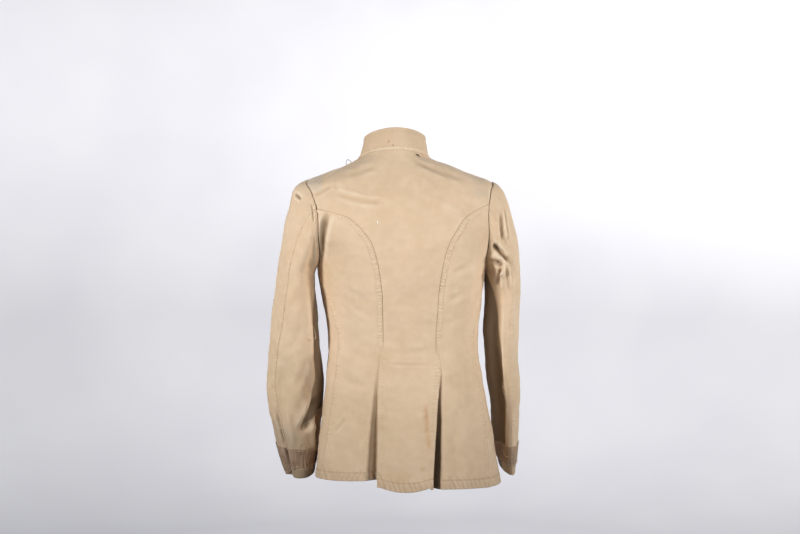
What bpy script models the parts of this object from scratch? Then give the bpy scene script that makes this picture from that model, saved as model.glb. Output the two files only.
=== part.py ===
"""Military service jacket of cotton drill, as worn, in its sewn pieces.

Metres, +Z up. The wearer faces +Y and +X is the wearer's right side. The origin is the middle of the
neck opening, where the jacket hangs on its wearer. The body panels are patches of one figure surface,
cut along their seams. Each sleeve is a bent tube that leaves the armhole and is cut into two pieces.
"""

import math

import bmesh
import bpy
import numpy as np
from mathutils import Matrix, Vector

# Cloth and seams
CLOTH = 0.0015
HEM_CLOTH = 0.0024
COLLAR_CLOTH = 0.0026
BRAID = 0.0012
SEAM_GAP = 0.0004
LIE_GAP = 0.0005
SHARP_DEGREES = 50.0
DIFFERENCE_STEP = 0.0005

# Level sections of the body, from below the hem to the neck
TORSO_COLUMNS = ("height", "half_left", "half_right", "back_depth", "front_depth", "shift_x",
                 "back_square", "front_square")
TORSO = (
    (-0.700, 0.1980, 0.2010, 0.128, 0.126, 0.026, 2.30, 2.30),
    (-0.600, 0.1830, 0.1885, 0.121, 0.122, 0.024, 2.30, 2.30),
    (-0.467, 0.1660, 0.1675, 0.107, 0.112, 0.020, 2.30, 2.30),
    (-0.386, 0.1580, 0.1580, 0.100, 0.107, 0.019, 2.30, 2.30),
    (-0.297, 0.1680, 0.1680, 0.107, 0.114, 0.016, 2.40, 2.40),
    (-0.223, 0.1790, 0.1790, 0.115, 0.117, 0.014, 2.50, 2.50),
    (-0.150, 0.2180, 0.2200, 0.117, 0.106, 0.011, 2.45, 2.30),
    (-0.090, 0.2270, 0.2300, 0.107, 0.083, 0.008, 2.45, 1.95),
    (-0.060, 0.2180, 0.2210, 0.096, 0.067, 0.006, 2.40, 1.60),
    (-0.047, 0.1940, 0.2035, 0.091, 0.063, 0.005, 2.40, 1.45),
    (-0.040, 0.1730, 0.1860, 0.088, 0.061, 0.004, 2.40, 1.38),
    (-0.020, 0.1210, 0.1325, 0.079, 0.059, 0.002, 2.20, 1.30),
    (0.004, 0.0735, 0.0730, 0.066, 0.057, 0.000, 2.10, 2.00),
    (0.030, 0.0600, 0.0600, 0.056, 0.055, 0.000, 2.00, 2.00),
)

# Curved back seams: how far each lies to the side of its section's middle; they end on the armholes
PRINCESS_COLUMNS = ("height", "left", "right")
PRINCESS = (
    (-0.700, 0.0700, 0.0310),
    (-0.600, 0.0655, 0.0400),
    (-0.520, 0.0616, 0.0490),
    (-0.426, 0.0560, 0.0580),
    (-0.386, 0.0534, 0.0570),
    (-0.297, 0.0530, 0.0640),
    (-0.234, 0.0590, 0.0730),
    (-0.183, 0.0710, 0.0880),
    (-0.153, 0.0900, 0.1060),
    (-0.128, 0.1180, 0.1250),
)

# Side seams: degrees round the body from the centre back
SIDE_SEAM_COLUMNS = ("height", "left", "right")
SIDE_SEAM = (
    (-0.700, 79.0, 62.0),
    (-0.600, 74.0, 66.0),
    (-0.467, 70.0, 71.0),
    (-0.386, 69.0, 70.0),
    (-0.297, 75.0, 76.0),
    (-0.228, 87.0, 87.0),
)

# Armholes: ovals in height and in degrees round the body
ARMHOLE_TOP = -0.047
ARMHOLE_BOTTOM = -0.228
ARMHOLE_TOP_DEGREES = 85.0
ARMHOLE_BOTTOM_DEGREES = 87.0
ARMHOLE_BACK_DEGREES = 21.0
ARMHOLE_FRONT_DEGREES = 29.0
ARMHOLE_TURNS = (0, 18, 36, 50, 63, 72, 90, 108, 126, 144, 162, 180)
JOIN_TURN = {"left": 72, "right": 63}
CURVE_ROWS = (-0.127, -0.119)
TIP_DROPS = (0.0008, 0.0045)

# Neck and shoulder seams
NECK_SIDE = 0.004
NECK_SIDE_DEGREES = 81.0
NECK_BACK_RISE = 0.011
NECK_FRONT = -0.042
FRONT_AT_SHOULDER = -0.085
# Top edge of the collar from the centre back; the first row mirrors the third, so it is round there
COLLAR_TOP_COLUMNS = ("degrees", "height", "reach")
COLLAR_TOP = (
    (-90.0, 0.0440, 0.0640),
    (0.0, 0.0620, 0.0575),
    (90.0, 0.0440, 0.0640),
    (180.0, -0.0010, 0.0520),
)
COLLAR_OPENING = 0.002
COLLAR_LIFT = 0.0008

# Rows of the body panels below the armholes, and each panel's hem height at first edge, middle and last edge
HEM_LEVEL = -0.680
HEM_FOLD = 0.020
LOW_ROWS = (HEM_LEVEL, HEM_LEVEL + HEM_FOLD, -0.620, -0.575, -0.530, -0.485,
            -0.440, -0.400, -0.355, -0.310, -0.268)
HEM_FADE_TOP = -0.500
SHOULDER_STEPS = 4
PANEL_POINTS = 13
HEM = {
    "back_centre": (-0.671, -0.682, -0.673),
    "back_side_left": (-0.657, -0.661, -0.665),
    "back_side_right": (-0.677, -0.679, -0.683),
    "front_left": (-0.665, -0.676, -0.684),
    "front_right": (-0.683, -0.684, -0.684),
}

# Pleats beside the back seams: full depth and breadth are at the hem
PLEAT = {
    "left": {"top": -0.390, "depth": 0.021, "flat": 0.0030, "bottom": 0.0100, "end": 0.0340},
    "right": {"top": -0.405, "depth": 0.030, "flat": 0.0030, "bottom": 0.0120, "end": 0.0265},
}
PLEAT_LEAST_BREADTH = 0.40
PLEAT_MOST_SHARE = 1 / 3
SIDE_POINTS = 7
TIP_PULL_SHARE = 0.2

# Fronts
FRONT_LAP = 0.018
LAP_EASE = 0.022
BUTTON_HEIGHTS = (-0.080, -0.160, -0.240, -0.320, -0.400)
BUTTON_RADIUS = 0.0105
BUTTON_RISE = 0.0050
BUTTON_EDGE = 0.0018
BUTTON_SEGMENTS = 14
BUTTON_DOME_STEPS = 3
BUTTON_SEAT = 0.0008

# Sleeves: level sections from just under the armhole to the sleeve's edge
SLEEVE_END = -0.664
SLEEVE_COLUMNS = ("height", "centre_x", "centre_y", "half_width", "half_depth", "tilt")
SLEEVE = {
    "left": (
        (SLEEVE_END, -0.1985, 0.063, 0.0330, 0.0500, 0.22),
        (-0.615, -0.2030, 0.056, 0.0425, 0.0500, 0.20),
        (-0.570, -0.2065, 0.048, 0.0500, 0.0500, 0.14),
        (-0.520, -0.2092, 0.038, 0.0560, 0.0510, 0.06),
        (-0.470, -0.2112, 0.028, 0.0585, 0.0520, 0.02),
        (-0.425, -0.2114, 0.020, 0.0552, 0.0560, 0.00),
        (-0.360, -0.2115, 0.010, 0.0500, 0.0620, 0.00),
        (-0.300, -0.2107, 0.004, 0.0443, 0.0660, 0.00),
        (-0.245, -0.2080, 0.000, 0.0395, 0.0680, 0.00),
    ),
    "right": (
        (SLEEVE_END, 0.2545, 0.063, 0.0150, 0.0610, 0.18),
        (-0.615, 0.2515, 0.056, 0.0225, 0.0610, 0.16),
        (-0.570, 0.2485, 0.048, 0.0275, 0.0620, 0.12),
        (-0.520, 0.2472, 0.038, 0.0305, 0.0620, 0.06),
        (-0.470, 0.2404, 0.028, 0.0325, 0.0630, 0.02),
        (-0.425, 0.2355, 0.020, 0.0330, 0.0640, 0.00),
        (-0.360, 0.2325, 0.010, 0.0370, 0.0640, 0.00),
        (-0.300, 0.2325, 0.004, 0.0360, 0.0660, 0.00),
        (-0.245, 0.2315, 0.000, 0.0370, 0.0680, 0.00),
    ),
}

# How a sleeve leaves its armhole: shares of the ways out to the side, down and off the body's surface
LEAVE_COLUMNS = ("sideways", "down", "off")
LEAVE_AT_SHOULDER = (0.92, 0.38, 0.00)
LEAVE_AT_UNDERARM = (0.25, 0.95, 0.15)
LEAVE_AT_FLANKS = 0.15
LEAVE_PULL = 0.6
CAP_SHARE = 0.25
TUBE_LEAD = 0.01
SLEEVE_END_MARGIN = 0.001
CAP_ROWS = (0.0, 0.04, 0.09, 0.145, 0.20, 0.25)
BAND_TOP = -0.604
BAND_BOTTOM = -0.642
TUBE_ROWS = (-0.285, -0.325, -0.365, -0.405, -0.440, -0.475, -0.510, -0.545, -0.575,
             BAND_TOP, -0.623, BAND_BOTTOM, SLEEVE_END)

# Sleeve seams: degrees round the sleeve from its outer side, by way of the back
SLEEVE_SEAM_COLUMNS = ("along", "hind_left", "hind_right", "fore")
SLEEVE_SEAM = (
    (0.00, 72.0, 72.0, -108.0),
    (0.35, 62.0, 82.0, -108.0),
    (0.65, 44.0, 88.0, -110.0),
    (1.00, 60.0, 90.0, -112.0),
)

# Largest folds of the sleeves: each runs from one place to another, and a negative height is a trough
FOLD_COLUMNS = ("along_from", "degrees_from", "along_to", "degrees_to", "half_breadth", "height")
SLEEVE_FOLDS = {
    "left": (
        (0.62, 58.0, 1.06, 46.0, 0.012, -0.0085),
        (0.62, 118.0, 0.86, 150.0, 0.014, -0.0070),
        (0.64, 22.0, 0.82, 24.0, 0.014, 0.0030),
    ),
    "right": (
        (0.07, 112.0, 0.27, 62.0, 0.011, -0.0070),
        (0.17, 122.0, 0.31, 80.0, 0.012, 0.0050),
        (0.30, 78.0, 0.56, 66.0, 0.012, 0.0040),
    ),
}
FOLD_FADE = 0.3
SLEEVE_GIRTH_RADIUS = 0.055
SLEEVE_LENGTH = 0.63

# Wire ring on the left shoulder
RING_OFFSET = -0.0970
RING_BREADTH = 0.0110
RING_RISE = 0.0085
RING_WIRE = 0.0006
RING_DEGREES = 86.0
RING_STEPS = 12
RING_PLACES = 200

# Small slit under the collar seam, on the right
SLIT_DEGREES = 40.0
SLIT_DROP = 0.0068
SLIT_LENGTH = 0.0130
SLIT_BREADTH = 0.0046
SLIT_LEAN_DEGREES = -24.0
SLIT_STEPS = 6
SLIT_CUT_REACH = 0.006

# Colours as seen, red, green and blue from 0 to 255, with roughness and metallic
FINISHES = {
    "khaki_drill": ((217, 190, 160), 0.90, 0.0),
    "cuff_braid": ((138, 111, 90), 0.92, 0.0),
    "button_bronze": ((96, 74, 52), 0.45, 0.9),
    "ring_wire": ((120, 116, 110), 0.40, 1.0),
}


def as_table(rows, columns):
    """Rows with named columns, each column as an array."""
    return dict(zip(columns, np.array(rows, float).T))


def smooth(table, key, column, at):
    """A column read at any value of the key column, on a cubic that never overshoots the rows."""
    x, y = table[key], table[column]
    step = np.diff(x)
    slope = np.diff(y) / step
    tangent = np.empty(len(x))
    tangent[0], tangent[-1] = slope[0], slope[-1]
    before, after = slope[:-1], slope[1:]
    agree = before * after > 0
    safe = np.where(agree, before + after, 1.0)
    tangent[1:-1] = np.where(agree, 2 * before * after / safe, 0.0)
    at = np.clip(np.asarray(at, float), x[0], x[-1])
    k = np.clip(np.searchsorted(x, at, side="right") - 1, 0, len(step) - 1)
    u = (at - x[k]) / step[k]
    start, end = y[k], y[k + 1]
    rise, run = tangent[k] * step[k], tangent[k + 1] * step[k]
    return (start * (1 - u) ** 2 * (1 + 2 * u) + end * u**2 * (3 - 2 * u)
            + rise * u * (1 - u) ** 2 - run * u**2 * (1 - u))


def ease(u):
    """Smooth step from 0 to 1."""
    u = np.clip(u, 0.0, 1.0)
    return u * u * (3 - 2 * u)


TORSO_TABLE = as_table(TORSO, TORSO_COLUMNS)
PRINCESS_TABLE = as_table(PRINCESS, PRINCESS_COLUMNS)
SIDE_SEAM_TABLE = as_table(SIDE_SEAM, SIDE_SEAM_COLUMNS)
COLLAR_TOP_TABLE = as_table(COLLAR_TOP, COLLAR_TOP_COLUMNS)
SLEEVE_SEAM_TABLE = as_table(SLEEVE_SEAM, SLEEVE_SEAM_COLUMNS)
SLEEVE_TABLE = {side: as_table(rows, SLEEVE_COLUMNS) for side, rows in SLEEVE.items()}
SIGN = {"left": -1.0, "right": 1.0}


def torso(angle, height):
    """Point of the figure: a superellipse at each height, at an angle from the centre back towards +X."""
    sine, cosine = np.sin(angle), np.cos(angle)
    left = smooth(TORSO_TABLE, "height", "half_left", height)
    right = smooth(TORSO_TABLE, "height", "half_right", height)
    back = smooth(TORSO_TABLE, "height", "back_depth", height)
    front = smooth(TORSO_TABLE, "height", "front_depth", height)
    back_power = smooth(TORSO_TABLE, "height", "back_square", height)
    front_power = smooth(TORSO_TABLE, "height", "front_square", height)
    half = np.where(sine < 0, left, right)
    power = np.where(cosine > 0, back_power, front_power)
    depth = np.where(cosine > 0, back, front)
    reach = ((np.abs(sine) / half) ** power + (np.abs(cosine) / depth) ** power) ** (-1 / power)
    across = smooth(TORSO_TABLE, "height", "shift_x", height) + reach * sine
    return np.stack([across, -reach * cosine, height + 0 * reach], axis=-1)


def reach_of(angle, height):
    """Distance of a point of the figure from the middle of its section."""
    point = torso(angle, height)
    middle = smooth(TORSO_TABLE, "height", "shift_x", height)
    return np.hypot(point[..., 0] - middle, point[..., 1])


def outward(surface, u, v, step=DIFFERENCE_STEP):
    """Unit normal of a surface with two parameters, from small differences both ways."""
    across = surface(u + step, v) - surface(u - step, v)
    along = surface(u, v + step) - surface(u, v - step)
    normal = np.cross(across, along)
    return normal / np.linalg.norm(normal, axis=-1, keepdims=True)


def angle_at(side, offset, height):
    """Angle of the point of the back that lies offset from its section's middle."""
    half = smooth(TORSO_TABLE, "height", f"half_{side}", height)
    depth = smooth(TORSO_TABLE, "height", "back_depth", height)
    power = smooth(TORSO_TABLE, "height", "back_square", height)
    share = np.clip(offset / half, 0.0, 0.999)
    return np.arctan2(offset, depth * (1 - share**power) ** (1 / power))


def armhole(turn):
    """Angle and height of the armhole's edge: turn 0 is at the shoulder, a quarter at the back."""
    middle = (ARMHOLE_TOP + ARMHOLE_BOTTOM) / 2
    half = (ARMHOLE_TOP - ARMHOLE_BOTTOM) / 2
    low = (1 - np.cos(turn)) / 2
    base = ARMHOLE_TOP_DEGREES + (ARMHOLE_BOTTOM_DEGREES - ARMHOLE_TOP_DEGREES) * low
    spread = np.where(np.sin(turn) > 0, ARMHOLE_BACK_DEGREES, ARMHOLE_FRONT_DEGREES)
    return np.radians(base - spread * np.sin(turn)), middle + half * np.cos(turn)


def armhole_at(height, front):
    """Angle of the armhole's back or front edge at a height."""
    middle = (ARMHOLE_TOP + ARMHOLE_BOTTOM) / 2
    half = (ARMHOLE_TOP - ARMHOLE_BOTTOM) / 2
    turn = np.arccos(np.clip((height - middle) / half, -1.0, 1.0))
    return armhole(-turn if front else turn)[0]


def shoulder_angle(height):
    """Angle of the shoulder seam between the armhole and the neck."""
    share = (height - ARMHOLE_TOP) / (NECK_SIDE - ARMHOLE_TOP)
    return np.radians(ARMHOLE_TOP_DEGREES + (NECK_SIDE_DEGREES - ARMHOLE_TOP_DEGREES) * share)


def join_height(side):
    """Height at which the curved back seam meets the armhole."""
    return armhole(math.radians(JOIN_TURN[side]))[1]


def princess_angle(side, height):
    """Angle of the curved back seam; its last stretch runs on to the armhole."""
    top = join_height(side)
    top_angle, _ = armhole(math.radians(JOIN_TURN[side]))
    top_offset = reach_of(SIGN[side] * top_angle, top) * np.sin(top_angle)
    rows = {
        "height": np.append(PRINCESS_TABLE["height"], top),
        "offset": np.append(PRINCESS_TABLE[side], top_offset),
    }
    return angle_at(side, smooth(rows, "height", "offset", height), height)


def side_seam_angle(side, height):
    return np.radians(smooth(SIDE_SEAM_TABLE, "height", side, height))


def back_edge(side, height):
    """Outer edge of the centre back: curved back seam, then armhole, then shoulder seam."""
    upper = np.where(height < ARMHOLE_TOP, armhole_at(height, False), shoulder_angle(height))
    return np.where(height < join_height(side), princess_angle(side, height), upper)


def side_edge(side, height, front):
    """Edge at the side: side seam, then armhole, then shoulder seam."""
    upper = np.where(height < ARMHOLE_TOP, armhole_at(height, front), shoulder_angle(height))
    return np.where(height < ARMHOLE_BOTTOM, side_seam_angle(side, height), upper)


def front_edge(height):
    """Angle of a front's free edge, just past the centre front."""
    return math.pi + FRONT_LAP / reach_of(math.pi + 0 * height, height)


def row_heights(back):
    """Heights of the body panels' rows, hem to neck; the back has more beside its curved seams."""
    arm = list(armhole(np.radians(ARMHOLE_TURNS))[1])
    shoulder = list(np.linspace(ARMHOLE_TOP, NECK_SIDE, SHOULDER_STEPS + 1)[1:])
    tips = [join_height(side) - drop for side in SIGN for drop in TIP_DROPS]
    curve = list(CURVE_ROWS) + tips if back else []
    return np.array(sorted(list(LOW_ROWS) + arm + shoulder + curve))


def hem_drop(piece, share):
    """How far a panel's hem lies from the hem level, on a parabola through its edges and middle."""
    first, middle, last = HEM[piece]
    edges = first * (1 - share) * (1 - 2 * share) + last * share * (2 * share - 1)
    return edges + 4 * middle * share * (1 - share) - HEM_LEVEL


def hem_fade(height):
    return np.clip((HEM_FADE_TOP - height) / (HEM_FADE_TOP - HEM_LEVEL), 0.0, 1.0)


def pleat_scale(side, height):
    """Share of the pleat's full size at a height, from none at its top to all at the hem."""
    top = PLEAT[side]["top"]
    return ease((top - height) / (top - HEM_LEVEL))


def pleat_places(side, height):
    """Distances from the back seam at which the pleat starts, is deepest and ends."""
    flat, bottom, end = (PLEAT[side][place] for place in ("flat", "bottom", "end"))
    breadth = PLEAT_LEAST_BREADTH + (1 - PLEAT_LEAST_BREADTH) * pleat_scale(side, height)
    return flat, flat + (bottom - flat) * breadth, flat + (end - flat) * breadth


def side_panel(side):
    """Surface of a side back panel: the figure, folded in beside the back seam as a pleat."""

    def surface(angle, height):
        flat, bottom, end = pleat_places(side, height)
        across = (angle - princess_angle(side, height)) * reach_of(SIGN[side] * angle, height)
        fall = ease((across - flat) / (bottom - flat))
        climb = ease((end - across) / (end - bottom))
        shape = np.where(across < bottom, fall, climb)
        inset = PLEAT[side]["depth"] * pleat_scale(side, height) * shape
        normal = outward(torso, SIGN[side] * angle, height)
        return torso(SIGN[side] * angle, height) - inset[..., None] * normal

    return surface


def front_panel(side):
    """Surface of a front: the figure, with the left front raised where it laps over the right one."""

    def surface(angle, height):
        point = torso(SIGN[side] * angle, height)
        if side == "right":
            return point
        lap = (FRONT_LAP + LAP_EASE) / reach_of(angle, height)
        ease_angle = LAP_EASE / reach_of(angle, height)
        rise = (HEM_CLOTH + LIE_GAP) * ease((angle - (math.pi - lap)) / ease_angle)
        return point + rise[..., None] * outward(torso, SIGN[side] * angle, height)

    return surface


def sleeve_tube(side, turn, height):
    """Point of a sleeve below the armhole: a tilted ellipse at each height."""
    row = {column: smooth(SLEEVE_TABLE[side], "height", column, height) for column in SLEEVE_COLUMNS[1:]}
    out = SIGN[side] * row["half_width"] * np.cos(turn)
    back = -row["half_depth"] * np.sin(turn)
    return np.stack([row["centre_x"] + out, row["centre_y"] + back, height + row["tilt"] * back], axis=-1)


def sleeve_fold(side, turn, along):
    """Height of the sleeve's folds: each is a bell across a line, fading at the line's two ends."""
    total = np.zeros(np.broadcast(turn, along).shape)
    turn = np.mod(turn + math.pi / 2, 2 * math.pi) - math.pi / 2
    place = np.stack([turn * SLEEVE_GIRTH_RADIUS + 0 * along, along * SLEEVE_LENGTH + 0 * turn], axis=-1)
    for row in SLEEVE_FOLDS[side]:
        fold = dict(zip(FOLD_COLUMNS, row))
        sizes = np.array([SLEEVE_GIRTH_RADIUS, SLEEVE_LENGTH])
        start = sizes * (math.radians(fold["degrees_from"]), fold["along_from"])
        line = sizes * (math.radians(fold["degrees_to"]), fold["along_to"]) - start
        share = (place - start) @ line / (line @ line)
        across = (place - start) @ np.array([line[1], -line[0]]) / np.linalg.norm(line)
        fade = ease(share / FOLD_FADE + FOLD_FADE) * ease((1 - share) / FOLD_FADE + FOLD_FADE)
        total = total + fold["height"] * fade * np.exp(-((across / fold["half_breadth"]) ** 2))
    return total


def sleeve_form(side):
    """Surface of a sleeve without folds: a cubic leaves the armhole and runs into the tube."""

    def surface(turn, along):
        sign = SIGN[side]
        angle, height = armhole(turn)
        leave = outward(torso, sign * angle, height)
        start = torso(sign * angle, height) + LIE_GAP * leave + SEAM_GAP * np.array([sign, 0.0, 0.0])
        tube_top = SLEEVE_TABLE[side]["height"][-1]
        tube_end = SLEEVE_TABLE[side]["height"][0]
        join = sleeve_tube(side, turn, tube_top + 0 * turn)
        below = sleeve_tube(side, turn, tube_top - TUBE_LEAD + 0 * turn)
        length = np.linalg.norm(join - start, axis=-1, keepdims=True)
        low = ((1 - np.cos(turn)) / 2)[..., None]
        flank = np.abs(np.sin(turn))[..., None]
        share = {
            name: shoulder + (underarm - shoulder) * low
            for name, shoulder, underarm in zip(LEAVE_COLUMNS, LEAVE_AT_SHOULDER, LEAVE_AT_UNDERARM)
        }
        aim = share["sideways"] * np.array([sign, 0.0, 0.0]) + share["down"] * np.array([0.0, 0.0, -1.0])
        aim = aim + (share["off"] + LEAVE_AT_FLANKS * flank) * leave
        rise = LEAVE_PULL * length * aim / np.linalg.norm(aim, axis=-1, keepdims=True)
        run = length * (below - join) / np.linalg.norm(below - join, axis=-1, keepdims=True)
        u = np.clip(along / CAP_SHARE, 0.0, 1.0)[..., None]
        cap = (start * (1 - u) ** 2 * (1 + 2 * u) + join * u**2 * (3 - 2 * u)
               + rise * u * (1 - u) ** 2 - run * u**2 * (1 - u))
        down = np.clip((along - CAP_SHARE) / (1 - CAP_SHARE), 0.0, 1.0)
        tube = sleeve_tube(side, turn, tube_top + (tube_end - tube_top) * down)
        return np.where((along < CAP_SHARE)[..., None], cap, tube)

    return surface


def sleeve_panel(side):
    """Surface of a sleeve with its largest folds."""
    form = sleeve_form(side)

    def surface(turn, along):
        normal = SIGN[side] * outward(form, turn, np.clip(along, SLEEVE_END_MARGIN, 1 - SLEEVE_END_MARGIN))
        return form(turn, along) + sleeve_fold(side, turn, along)[..., None] * normal

    return surface


def along_of(side, height):
    """Share of the sleeve's run at a height of its tube."""
    top = SLEEVE_TABLE[side]["height"][-1]
    end = SLEEVE_TABLE[side]["height"][0]
    return CAP_SHARE + (1 - CAP_SHARE) * (top - np.asarray(height)) / (top - end)


def sleeve_rows(side):
    return np.concatenate([CAP_ROWS, along_of(side, TUBE_ROWS)])


def neck_height(angle):
    """Height of the neck seam: a low arch over the back, easing down to the centre front."""
    size = np.abs(angle)
    side_angle = math.radians(NECK_SIDE_DEGREES)
    back = NECK_SIDE + NECK_BACK_RISE * (1 - (size / side_angle) ** 2)
    front = NECK_SIDE + (NECK_FRONT - NECK_SIDE) * ease((size - side_angle) / (math.pi - side_angle))
    return np.where(size < side_angle, back, front)


def collar_surface(angle, share):
    """Surface of the collar: straight up from the neck seam to its top edge, a little hollow between."""
    foot = torso(angle, neck_height(angle))
    foot[..., 2] += COLLAR_LIFT
    degrees = np.degrees(np.abs(angle))
    reach = smooth(COLLAR_TOP_TABLE, "degrees", "reach", degrees)
    top_height = smooth(COLLAR_TOP_TABLE, "degrees", "height", degrees)
    top = np.stack([reach * np.sin(angle), -reach * np.cos(angle), top_height], axis=-1)
    share = share[..., None]
    return foot + (top - foot) * share


def finish(name):
    """One plain material for each finish."""
    material = bpy.data.materials.get(name)
    if material:
        return material
    colour, roughness, metallic = FINISHES[name]
    linear = [((c / 255 + 0.055) / 1.055) ** 2.4 for c in colour]
    material = bpy.data.materials.new(name)
    material.use_nodes = True
    shader = material.node_tree.nodes["Principled BSDF"]
    shader.inputs["Base Color"].default_value = (*linear, 1.0)
    shader.inputs["Roughness"].default_value = roughness
    shader.inputs["Metallic"].default_value = metallic
    return material


def add_object(name, mesh, material):
    mesh.materials.append(finish(material))
    piece = bpy.data.objects.new(name, mesh)
    bpy.context.collection.objects.link(piece)
    return piece


def wall(name, outer, inner, material, flip=False, closed=False):
    """Closed solid between an outer and an inner grid of points, with a rim along its edges."""
    rows, columns = outer.shape[:2]
    last = columns if closed else columns - 1
    mesh = bmesh.new()
    sheets = [[[mesh.verts.new(point) for point in row] for row in grid] for grid in (outer, inner)]
    faces = []
    for j in range(rows - 1):
        for i in range(last):
            k = (i + 1) % columns
            for grid, order in zip(sheets, (1, -1)):
                faces.append([grid[j][i], grid[j][k], grid[j + 1][k]][::order])
                faces.append([grid[j][i], grid[j + 1][k], grid[j + 1][i]][::order])
    out, back = sheets
    for i in range(last):
        k = (i + 1) % columns
        faces.append([out[0][i], back[0][i], back[0][k], out[0][k]])
        faces.append([out[-1][i], out[-1][k], back[-1][k], back[-1][i]])
    if not closed:
        for j in range(rows - 1):
            faces.append([out[j][0], out[j + 1][0], back[j + 1][0], back[j][0]])
            faces.append([out[j][-1], back[j][-1], back[j + 1][-1], out[j + 1][-1]])
    for face in faces:
        mesh.faces.new(face[::-1] if flip else face)
    data = bpy.data.meshes.new(name)
    mesh.to_mesh(data)
    mesh.free()
    data.shade_smooth()
    data.set_sharp_from_angle(angle=math.radians(SHARP_DEGREES))
    return add_object(name, data, material)


def panel_wall(name, surface, angle, height, sign, thickness):
    """Wall of a body panel from its surface and the grid of its parameters."""
    outer = surface(angle, height)
    normal = sign * outward(surface, angle, height)
    inner = outer - thickness[..., None] * normal
    return wall(name, outer, inner, "khaki_drill", flip=sign < 0)


def thickness_of(height):
    """One layer of cloth, and a thicker turned-up fold at the hem row."""
    thickness = np.full(height.shape, CLOTH)
    thickness[0] = HEM_CLOTH
    return thickness


def spread_rows(piece, rows, shares):
    """Heights of a panel's points: level rows that bend to the hem's own line near it."""
    level = rows[:, None] + 0 * shares[None, :]
    return level + hem_drop(piece, shares)[None, :] * hem_fade(level)


def build_back_centre():
    rows = row_heights(back=True)
    shares = np.linspace(0.0, 1.0, PANEL_POINTS)
    height = spread_rows("back_centre", rows, shares)
    rise = NECK_BACK_RISE * ease((rows - ARMHOLE_TOP) / (NECK_SIDE - ARMHOLE_TOP))
    pull = SEAM_GAP / 2 / reach_of(0 * rows, rows)
    left = -back_edge("left", height[:, 0]) + pull
    right = back_edge("right", height[:, -1]) - pull
    angle = left[:, None] + (right - left)[:, None] * shares
    height = height + rise[:, None] * (1 - (2 * shares - 1) ** 2)
    panel = panel_wall("back_centre", torso, angle, height, 1.0, thickness_of(height))
    cut_slit(panel)


def cut_slit(panel):
    """A small lens-shaped slit through the cloth under the collar seam."""
    angle = np.array(math.radians(SLIT_DEGREES))
    height = neck_height(angle) - SLIT_DROP
    centre = Vector(torso(angle, height))
    normal = Vector(outward(torso, angle, height))
    across = Vector((0, 0, 1)).cross(normal).normalized()
    up = normal.cross(across)
    axes = Matrix((across, up, normal)).transposed().to_4x4()
    place = Matrix.Translation(centre) @ axes @ Matrix.Rotation(math.radians(SLIT_LEAN_DEGREES), 4, "Z")
    turns = [math.pi * k / SLIT_STEPS for k in range(SLIT_STEPS)]
    upper = [(math.cos(turn), math.sin(turn)) for turn in turns]
    lower = [(-x, -y) for x, y in upper]
    outline = [Vector((x * SLIT_LENGTH / 2, y * abs(y) * SLIT_BREADTH / 2, 0)) for x, y in upper + lower]
    cutter = bmesh.new()
    sink = Vector((0, 0, -SLIT_CUT_REACH))
    face = cutter.faces.new([cutter.verts.new(place @ (point + sink)) for point in outline])
    moved = bmesh.ops.extrude_face_region(cutter, geom=[face])["geom"]
    points = [item for item in moved if isinstance(item, bmesh.types.BMVert)]
    bmesh.ops.translate(cutter, verts=points, vec=normal * 2 * SLIT_CUT_REACH)
    bmesh.ops.recalc_face_normals(cutter, faces=cutter.faces)
    data = bpy.data.meshes.new("slit_cutter")
    cutter.to_mesh(data)
    cutter.free()
    tool = bpy.data.objects.new("slit_cutter", data)
    bpy.context.collection.objects.link(tool)
    tool.hide_render = True
    tool.display_type = "WIRE"
    cut = panel.modifiers.new("slit", "BOOLEAN")
    cut.operation = "DIFFERENCE"
    cut.object = tool


def build_back_side(side):
    name = f"back_side_{side}"
    rows = row_heights(back=True)
    rows = rows[rows < join_height(side) - TIP_DROPS[0] / 2]
    flat, bottom, end = pleat_places(side, rows)
    reach = reach_of(SIGN[side] * princess_angle(side, rows), rows)
    breadth = (side_edge(side, rows, False) - princess_angle(side, rows)) * reach
    near = np.stack([0 * end, flat + 0 * end, (flat + bottom) / 2, bottom, (bottom + end) / 2, end], axis=1)
    near = near * np.minimum(1.0, PLEAT_MOST_SHARE * breadth / end)[:, None]
    far = np.linspace(0.0, 1.0, SIDE_POINTS + 1)[1:]
    across = np.concatenate([near, near[:, -1:] + (breadth[:, None] - near[:, -1:]) * far], axis=1)
    shares = across / breadth[:, None]
    level = rows[:, None] + 0 * shares
    height = level + hem_drop(name, shares) * hem_fade(level)
    pull = (np.minimum(SEAM_GAP / 2, TIP_PULL_SHARE * breadth) / reach)[:, None]
    first = princess_angle(side, height) + pull
    last = side_edge(side, height, False) - pull
    angle = first + (last - first) * shares
    panel_wall(name, side_panel(side), angle, height, SIGN[side], thickness_of(height))


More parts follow.
